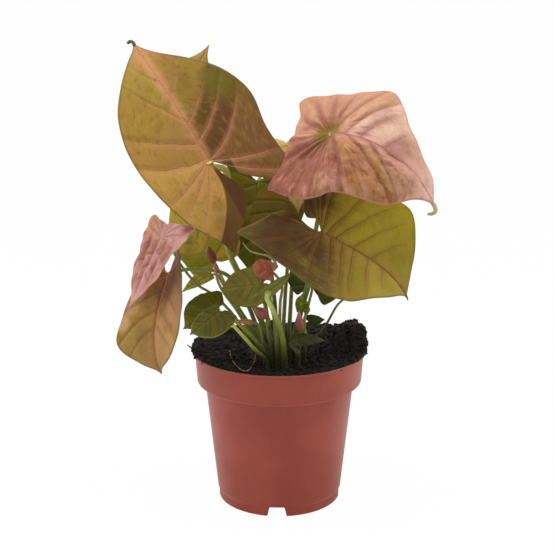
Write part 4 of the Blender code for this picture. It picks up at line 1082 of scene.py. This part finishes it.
# a green leaf behind the others, its tones darkened with painted shade
darkCentre = dict(
    at=(-14.6, 28, 216.7), length=70, aim=(-98, -76, 6), pucker=(0.15, 0.15),
    left=dict(widths=(0.08, 0.19, 0.3, 0.34, 0.34), lobe=0.16, spread=0.24, sinus=0.09, fold=0.1),
    right=dict(widths=(0.09, 0.22, 0.3, 0.33, 0.34), lobe=0.19, spread=0.25, fold=0.06),
    foot=(-3.5, 0), radii=(1.2, 1.7), stalk=[(-10.5, 30, 186), (-5, 20, 150), (-2.5, 8, 124)],
    stalkLook=dict(top=(129, 131, 45), foot=(97, 105, 33)),
    look=dict(
        **greenUnder, left=(92, 90, 8), leftGreen=(74, 77, 6), right=(110, 105, 8),
        rightGreen=(87, 90, 6), rib=(120, 116, 36), vein=(129, 124, 42), rim=(69, 71, 20),
        fleck=(110, 105, 34)))
makeLeaf("darkCentre", darkCentre)

oliveCentre = dict(
    at=(6.5, 6, 207.6), length=48, aim=(-136, -46, -33), droop=-0.2, tipDroop=-0.31, twist=-0.12,
    pucker=(0.1, 0.1),
    left=dict(widths=(0.12, 0.22, 0.28, 0.3, 0.26), lobe=0.1, spread=0.16, sinus=0.04, fold=-0.34),
    right=dict(widths=(0.1, 0.23, 0.35, 0.44, 0.44), lobe=0.19, spread=0.31, sinus=0.11, fold=-0.06),
    foot=(2, -4.5), stalk=[(7, 10, 180), (4.5, 9, 148), (3, 4, 124)],
    look=dict(
        **tanUnder, left=(112, 86, 8), leftGreen=(90, 80, 6), right=(114, 86, 8), rightGreen=(94, 82, 6),
        rib=(122, 94, 26), vein=(112, 76, 24), rim=(84, 78, 22), fleck=(124, 96, 39)))
makeLeaf("oliveCentre", oliveCentre)

backTop = dict(
    at=(-70.7, 12, 265.9), length=51, aim=(11, 61, 65), twist=-0.18,
    left=dict(widths=(0.07, 0.21, 0.35, 0.41, 0.46), lobe=0.2, spread=0.31, sinus=0.11, fold=-0.11),
    right=dict(widths=(0.07, 0.22, 0.33, 0.38, 0.49), lobe=0.1, spread=0.31, sinus=0.11, curl=0.06),
    foot=(-6.5, 8), radii=(1.1, 1.7),
    stalk=[(-60, 28, 240), (-46, 42, 210), (-28, 40, 176), (-12, 24, 140)],
    look=dict(
        left=(190, 152, 90), leftGreen=(164, 140, 68), right=(190, 150, 90), rightGreen=(166, 142, 70),
        rib=(196, 160, 98), vein=(196, 148, 96), rim=(140, 128, 64), fleck=(208, 176, 130),
        back=(186, 160, 104), backGreen=(160, 148, 80), backVein=(204, 180, 130)))
makeLeaf("backTop", backTop)

yellowMiddle = dict(
    at=(6.9, -6, 247.9), length=48, aim=(-76, -61, -3), twist=-0.25,
    left=dict(
        widths=(0.09, 0.24, 0.36, 0.44, 0.47), lobe=0.43, spread=0.32, sinus=0.13, fold=0.1, curl=0.08,
        lobeBend=-0.16),
    right=dict(
        widths=(0.11, 0.22, 0.33, 0.38, 0.48), lobe=0.08, sinus=0.11, fold=0.16, curl=0.14,
        curlGrowth=0.12),
    foot=(6.5, 3), stalk=[(11, 8, 226), (12.5, 18, 200), (10, 21, 165), (7.5, 10, 128)],
    look=dict(
        left=(236, 208, 116), leftGreen=(210, 190, 90), rightGreen=(210, 188, 92), rib=(232, 192, 110),
        vein=(230, 182, 112), rim=(162, 134, 65), fleck=(242, 187, 123), back=(213, 165, 97),
        backGreen=(184, 152, 71), backVein=(242, 189, 127)))
makeLeaf("yellowMiddle", yellowMiddle)

undersideRight = dict(
    at=(21.6, 8, 150.1), length=35, aim=(72, 61, -5), droop=0.26, tipDroop=0.22,
    left=dict(lobe=0.27, spread=0.23, sinus=0.08, fold=0.2, curl=0.12, lobeBend=-0.07),
    right=dict(lobe=0.31, fold=0.15, curl=0.1, lobeBend=-0.07),
    foot=(14, -3), radii=(0.9, 1.4), stalk=[(20.5, 7, 137), (16, 0.5, 120)],
    look=dict(
        left=(88, 96, 38), leftGreen=(72, 82, 28), rib=(112, 118, 54), vein=(120, 124, 64),
        rim=(64, 72, 28), fleck=(104, 110, 52), back=(78, 82, 36), backGreen=(66, 74, 28),
        backVein=(104, 108, 58)))
makeLeaf("undersideRight", undersideRight)

farRight = dict(
    at=(42.5, -14, 150.4), length=40, aim=(79, 53, -7), droop=0.15, tipDroop=0.14,
    left=dict(lobe=0.27, fold=0.11, curl=0.07, lobeBend=-0.11),
    right=dict(lobe=0.21, fold=0.24, curl=0.12, lobeBend=-0.17),
    foot=(19, 2), radii=(0.7, 1.1), stalk=[(39, -6, 138), (28.6, 1, 117)],
    stalkLook=dict(top=(120, 132, 66), foot=(92, 110, 50)),
    look=dict(
        left=(92, 98, 38), leftGreen=(76, 84, 28), rib=(112, 118, 54), vein=(120, 124, 64),
        rim=(64, 72, 28), fleck=(104, 110, 52), back=(86, 84, 34), backGreen=(74, 78, 28),
        backVein=(108, 110, 58)))
makeLeaf("farRight", farRight)

crumpledSmall = dict(
    at=(15, -23.5, 141), length=12.3, aim=(-91, 68, 149), pucker=(0.5, 0.5), ripple=0.6,
    left=dict(lobe=0.36, fold=-0.08),
    right=dict(lobe=0.32, fold=-0.12, lobeBend=0.13),
    foot=(17, -20.5), radii=(0.8, 1.2), stalk=[(16.8, -21.5, 128)],
    look=dict(
        left=(150, 168, 54), leftGreen=(112, 132, 36), right=(142, 160, 50), rightGreen=(110, 130, 34),
        rib=(176, 186, 84), vein=(186, 192, 100), rim=(110, 126, 44), fleck=(176, 190, 92),
        back=(136, 150, 60), backGreen=(106, 122, 40), backVein=(170, 178, 96)))
makeLeaf("crumpledSmall", crumpledSmall)

tinyRight = dict(
    at=(19.9, -14, 129.5), length=11, aim=(1, 5, 39), ripple=0.2, pucker=(0.1, 0.1),
    left=dict(lobe=0.34),
    right=dict(lobe=0.35),
    foot=(17.5, -14.5), radii=(0.7, 1.1), stalk=[(18.2, -14, 119)],
    look=dict(
        left=(78, 92, 38), leftGreen=(62, 76, 28), rib=(96, 108, 50), vein=(104, 114, 60),
        rim=(56, 66, 26), fleck=(92, 104, 48), back=(72, 84, 36), backGreen=(58, 70, 26),
        backVein=(96, 106, 56)))
makeLeaf("tinyRight", tinyRight)

baseRight = dict(
    at=(10.7, -38, 124), length=20, aim=(-7, 3, 14), droop=0.07, tipDroop=0.11, ripple=0.3,
    left=dict(lobe=0.12, sinus=0.11, fold=-0.05),
    right=dict(lobe=0.12, fold=0.05),
    foot=(12, -35), radii=(1.6, 2.2), stalk=[(12, -36.5, 114)],
    stalkLook=dict(top=(92, 106, 54), foot=(78, 90, 44)),
    look=dict(
        left=(76, 84, 40), leftGreen=(60, 70, 28), rib=(92, 98, 50), vein=(96, 102, 56), rim=(54, 60, 26),
        fleck=(86, 92, 48), back=(72, 80, 38), backGreen=(58, 66, 28), backVein=(92, 98, 54)))
makeLeaf("baseRight", baseRight)

unfurlingOrange = dict(
    at=(-4.8, -37, 169.6), length=14.5, aim=(190, 20, -67), droop=-0.13, tipDroop=-0.12, ripple=0.4,
    pucker=(0.2, 0.2),
    left=dict(widths=(0.24, 0.38, 0.44, 0.44, 0.42), lobe=0.19, sinus=0.11, fold=-0.21, lobeBend=0.14),
    right=dict(widths=(0.24, 0.38, 0.44, 0.44, 0.42), lobe=0.22, spread=0.3, sinus=0.11, fold=-0.08),
    foot=(0.5, -27), radii=(0.9, 1.3), stalk=[(1.5, -33, 160), (0.5, -29, 146), (0.2, -27.2, 126)],
    stalkLook=dict(top=(176, 140, 92), foot=(124, 134, 62)),
    look=dict(
        left=(252, 158, 126), leftGreen=(236, 136, 98), right=(252, 154, 120), rightGreen=(234, 134, 96),
        rib=(232, 150, 114), vein=(226, 150, 112), rim=(214, 134, 96), fleck=(222, 146, 112),
        back=(196, 108, 72), backGreen=(176, 92, 56), backVein=(214, 134, 96)))
makeLeaf("unfurlingOrange", unfurlingOrange)

print("leaves made")


# A rolled young leaf is a sheet wound on itself, with the loose edge running up it as a seam.
# Its girth is a list of (share of the way up, share of the radius).
budRest = dict(steps=40, around=36, turns=0.35, overlap=0.2, seam=200.0, wrinkle=0.08, tipRise=0.1,
               girth=[(0, 0.42), (0.05, 0.6), (0.12, 0.84), (0.3, 1.0), (0.5, 0.93), (0.7, 0.68),
                      (0.87, 0.38), (0.96, 0.2), (1.0, 0.08)], slack=0.97, stalkLook={})
budTones = dict(outer=(206, 128, 108), shade=(176, 96, 80), tip=(214, 150, 128), edge=(228, 168, 146))


def budSkin(name, look):
    skin = Skin(name, Specular_IOR_Level=0.3)
    run = skin.attribute("run")
    turn = skin.attribute("turn")
    cloud = skin.noise(skin.object(), 130.0, 3.0)
    streak = skin.noise(skin.vector(X=turn * 14.0, Y=run * 2.0), 1.0, 3.0)
    tone = skin.mixed(cloud.fade(0.35, 0.65), look["outer"], look["shade"])
    tone = skin.mixed(run.fade(0.6, 1.0) * 0.7, tone, look["tip"])
    tone = skin.mixed(turn.fade(0.9, 0.98) * 0.7, tone, look["edge"])
    tone = skin.mixed(streak.fade(0.5, 0.7) * 0.3, tone, look["shade"])
    skin.wire(Base_Color=tone, Roughness=0.4 + cloud * 0.12,
              Normal=skin.bump(streak + cloud * 0.5, 0.0004, 0.5))
    return skin.material


def makeBud(name, bud):
    bud = {**budRest, **bud}
    base, tip = np.array(bud["base"], float), np.array(bud["tip"], float)
    axis = (tip - base) / np.linalg.norm(tip - base)
    side = unit(np.cross(axis, (0.3, 1.0, 0.2)))
    other = np.cross(axis, side)
    places, around = np.linspace(0, 1, bud["steps"]), bud["around"]
    girth = np.interp(places, *zip(*bud["girth"])) * bud["radius"] * bud["slack"]
    points, runs, turns, faces = [], [], [], []
    for place, radius in zip(places, girth):
        start = math.radians(bud["seam"]) + bud["turns"] * 2 * math.pi * place
        for k in range(around):
            share = k / (around - 1)
            angle = start + 2 * math.pi * k / around
            across, along = math.cos(angle), math.sin(angle)
            size = radius * (1 - bud["overlap"] * (1 - share) * (1 - 0.5 * place))
            size *= 1 + bud["wrinkle"] * noise.noise((across * 2, along * 2, place * 4))
            points.append(base + (tip - base) * place + size * (side * across + other * along))
            runs.append(place)
            turns.append(share)
    points += [base, tip + axis * bud["tipRise"]]
    runs += [0, 1]
    turns += [0.5, 0.5]
    last = (len(places) - 1) * around
    for k in range(around):
        n = (k + 1) % around
        faces += [(i * around + k, i * around + n, (i + 1) * around + n, (i + 1) * around + k)
                  for i in range(len(places) - 1)]
        faces.append((n, k, len(points) - 2))
        faces.append((last + k, last + n, len(points) - 1))
    piece = newPiece(name, points, faces=faces)
    paintPoints(piece, "run", runs)
    paintPoints(piece, "turn", turns)
    piece.data.materials.append(budSkin(name + "Skin", {**budTones, **bud["look"]}))
    smoothShade(piece, 60)
    dress(piece, nodeName(name))
    makeStalk(name, [base + axis * 0.6, base - axis * 1.8], bud)


budPinkLow = dict(
    slot="leaf_pink", base=(-8.0, -22.5, 134.5), tip=(-16.8, -22.5, 141.5), radius=4.0,
    foot=(-4.5, -26.0), stalk=[(-8.2, -22.0, 128.0)], radii=(0.8, 1.3),
    look=dict(outer=(214, 128, 116), shade=(184, 100, 90)))
makeBud("budPinkLow", budPinkLow)

budOrangeLeft = dict(
    slot="leaf_orange_pink", base=(-16.5, -24.0, 131.0), tip=(-28.5, -25.0, 133.0), radius=2.2,
    foot=(-10.0, -26.0), stalk=[(-12.0, -23.5, 124.0)], radii=(0.8, 1.3),
    look=dict(outer=(208, 146, 104), shade=(176, 118, 80), tip=(196, 140, 96), edge=(212, 160, 120)))
makeBud("budOrangeLeft", budOrangeLeft)

budPinkRight = dict(
    slot="leaf_pink", base=(13.6, -27.0, 126.0), tip=(13.0, -27.5, 140.5), radius=3.0,
    foot=(13.0, -25.5), stalk=[(13.4, -26.5, 118.0)], radii=(0.9, 1.3),
    look=dict(outer=(212, 134, 114), shade=(186, 104, 88)))
makeBud("budPinkRight", budPinkRight)

budRedLeft = dict(
    slot="leaf_dark_red", base=(-43.2, -21.0, 171.5), tip=(-46.6, -22.5, 183.0), radius=3.2,
    foot=(-12.5, -17.0), radii=(0.9, 1.4),
    stalk=[(-41.0, -20.5, 160.0), (-38.0, -18.0, 152.0), (-28.0, -16.5, 137.0)],
    stalkLook=dict(top=(206, 138, 108), foot=(146, 144, 66), fade=(0.12, 0.3)),
    look=dict(outer=(150, 80, 50), shade=(112, 56, 34), tip=(164, 98, 66), edge=(176, 104, 78)))
makeBud("budRedLeft", budRedLeft)

# the dried sheath that the orange leaf has come out of
sheath = dict(points=[(-3.6, -37.5, 170.5), (-2.4, -38.5, 175.5), (-8.0, -39.0, 180.6), (-14.0, -39.0, 182.0),
                      (-19.5, -38.5, 184.0), (-23.6, -38.0, 189.0)], steps=40, ends=(0.9, 0.35), sides=8,
              tone=(196, 168, 134))


def makeSheath():
    path = smoothPath(sheath["points"], sheath["steps"])
    piece = sweep("orangeSheath", path, np.linspace(*sheath["ends"], sheath["steps"]),
                  dripSkin("sheathSkin", sheath["tone"]), sheath["sides"])
    dress(piece, "unfurling_orange_blade")


makeSheath()
print("young leaves made")


# Loose roots: each point is x, y and the rise over the soil; tones are pale and dark.
rootLoop = dict(points=[(-34.5, 3.0, 0.0), (-31.0, -22.0, 0.0), (-22.5, -50.0, 0.9), (-17.0, -24.0, 0.0),
                        (-16.0, -21.0, 4.0), (-15.5, -20.5, 11.0)],
                radius=0.45, tones=((188, 148, 108), (126, 90, 62)))
rootStub = dict(points=[(-63.0, -2.0, 2.2), (-60.0, -2.8, 0.75), (-56.0, -4.0, 0.8), (-51.0, -5.5, 0.1),
                        (-46.0, -6.0, 0.0)], radius=0.6, tones=((56, 40, 34), (26, 20, 18)))


def rootSkin(name, pale, dark):
    skin = Skin(name, Specular_IOR_Level=0.3)
    cloud = skin.noise(skin.object(), 300.0, 4.0)
    skin.wire(Base_Color=skin.mixed(cloud.fade(0.35, 0.65), dark, pale), Roughness=0.7 + cloud * 0.2,
              Normal=skin.bump(cloud, 0.0003, 0.6))
    return skin.material


def makeRoot(name, root):
    # it lies a little over the soil
    steps, clear, radius, node = 60, 0.3, root["radius"], nodeName(name)
    path = [(x, y, soilHeight(x, y) + radius + clear + max(0.0, rise))
            for x, y, rise in smoothPath(root["points"], steps)]
    radii = [radius * (0.85 + 0.35 * noise.noise((i * 0.3, 0, radius))) for i in range(steps)]
    dress(sweep(name, path, radii, rootSkin(node + "Skin", *root["tones"]), 8), node)


makeRoot("rootLoop", rootLoop)
makeRoot("rootStub", rootStub)
print("roots made")


view = dict(at=(-1.6, -807.7, 365.3), down=14.5, lens=80.0, sensor=36.0, reach=20.0)


def makeCamera():
    eye = bpy.data.cameras.new("camera")
    eye.lens = view["lens"]
    eye.sensor_width = view["sensor"]
    eye.clip_end = view["reach"]
    camera = bpy.data.objects.new("camera", eye)
    camera.location = [c * mm for c in view["at"]]
    camera.rotation_euler = (math.radians(90 - view["down"]), 0, 0)
    bpy.context.scene.collection.objects.link(camera)
    bpy.context.scene.camera = camera


# width and height in metres, watts, and where it stands; all look at the same place
lookAt = (0, 0, 0.15)
lamps = dict(
    top=dict(size=(1.2, 1.0), power=9.6, at=(-0.1, -0.1, 1.35)),
    left=dict(size=(0.7, 1.0), power=6.4, at=(-1.1, -0.1, 0.7)),
    right=dict(size=(0.7, 1.0), power=6.0, at=(1.1, -0.1, 0.7)),
    front=dict(size=(0.8, 0.6), power=0.8, at=(-0.3, -1.3, 0.9)))


def makeLamps():
    for name, spec in lamps.items():
        light = bpy.data.lights.new(name + "Lamp", "AREA")
        light.shape = "RECTANGLE"
        light.size, light.size_y = spec["size"]
        light.energy = spec["power"]
        lamp = bpy.data.objects.new(name + "Lamp", light)
        lamp.location = spec["at"]
        away = np.array(spec["at"]) - np.array(lookAt)
        flat = math.hypot(away[0], away[1])
        lamp.rotation_euler = (math.atan2(flat, away[2]), 0, math.atan2(away[0], -away[1]))
        bpy.context.scene.collection.objects.link(lamp)


def makeRoom():
    # the camera and reflections see a white room, and its light on the plant is dimmer
    dim, near, far, glow = 0.29, 20, 40, 0.985
    white = (1, 1, 1, 1)
    world = bpy.data.worlds.new("room")
    world.use_nodes = True
    bpy.context.scene.world = world
    room = Bench(world.node_tree)
    seen = room.node("ShaderNodeLightPath", (), "Is Camera Ray")
    glossy = room.node("ShaderNodeLightPath", (), "Is Glossy Ray")
    sky = world.node_tree.nodes["Background"].inputs
    plug(room.tree, sky["Color"], white)
    plug(room.tree, sky["Strength"], dim + seen.most(glossy) * (1 - dim))

    floor = newPiece("floor", [(-near, -near, 0), (near, -near, 0), (near, far, 0), (-near, far, 0)],
                     faces=[(0, 1, 2, 3)], scale=1)
    skin = Skin("paleFloor", Base_Color=(0.86, 0.86, 0.86, 1), Roughness=0.9, Specular_IOR_Level=0.0)
    path = skin.node("ShaderNodeLightPath", (), "Is Camera Ray")
    shine = skin.node("ShaderNodeEmission", {"Color": white, "Strength": 1.0})
    both = skin.tree.nodes.new("ShaderNodeMixShader")
    lit = Wire(skin.tree, skin.shader.outputs[0])
    for slot, value in zip(both.inputs, (path * glow, lit, shine)):
        plug(skin.tree, slot, value)
    plug(skin.tree, skin.tree.nodes["Material Output"].inputs["Surface"], Wire(skin.tree, both.outputs[0]))
    floor.data.materials.append(skin.material)


makeCamera()
makeLamps()
makeRoom()
bpy.context.scene.view_settings.view_transform = "Standard"
print("camera, lamps and floor made")
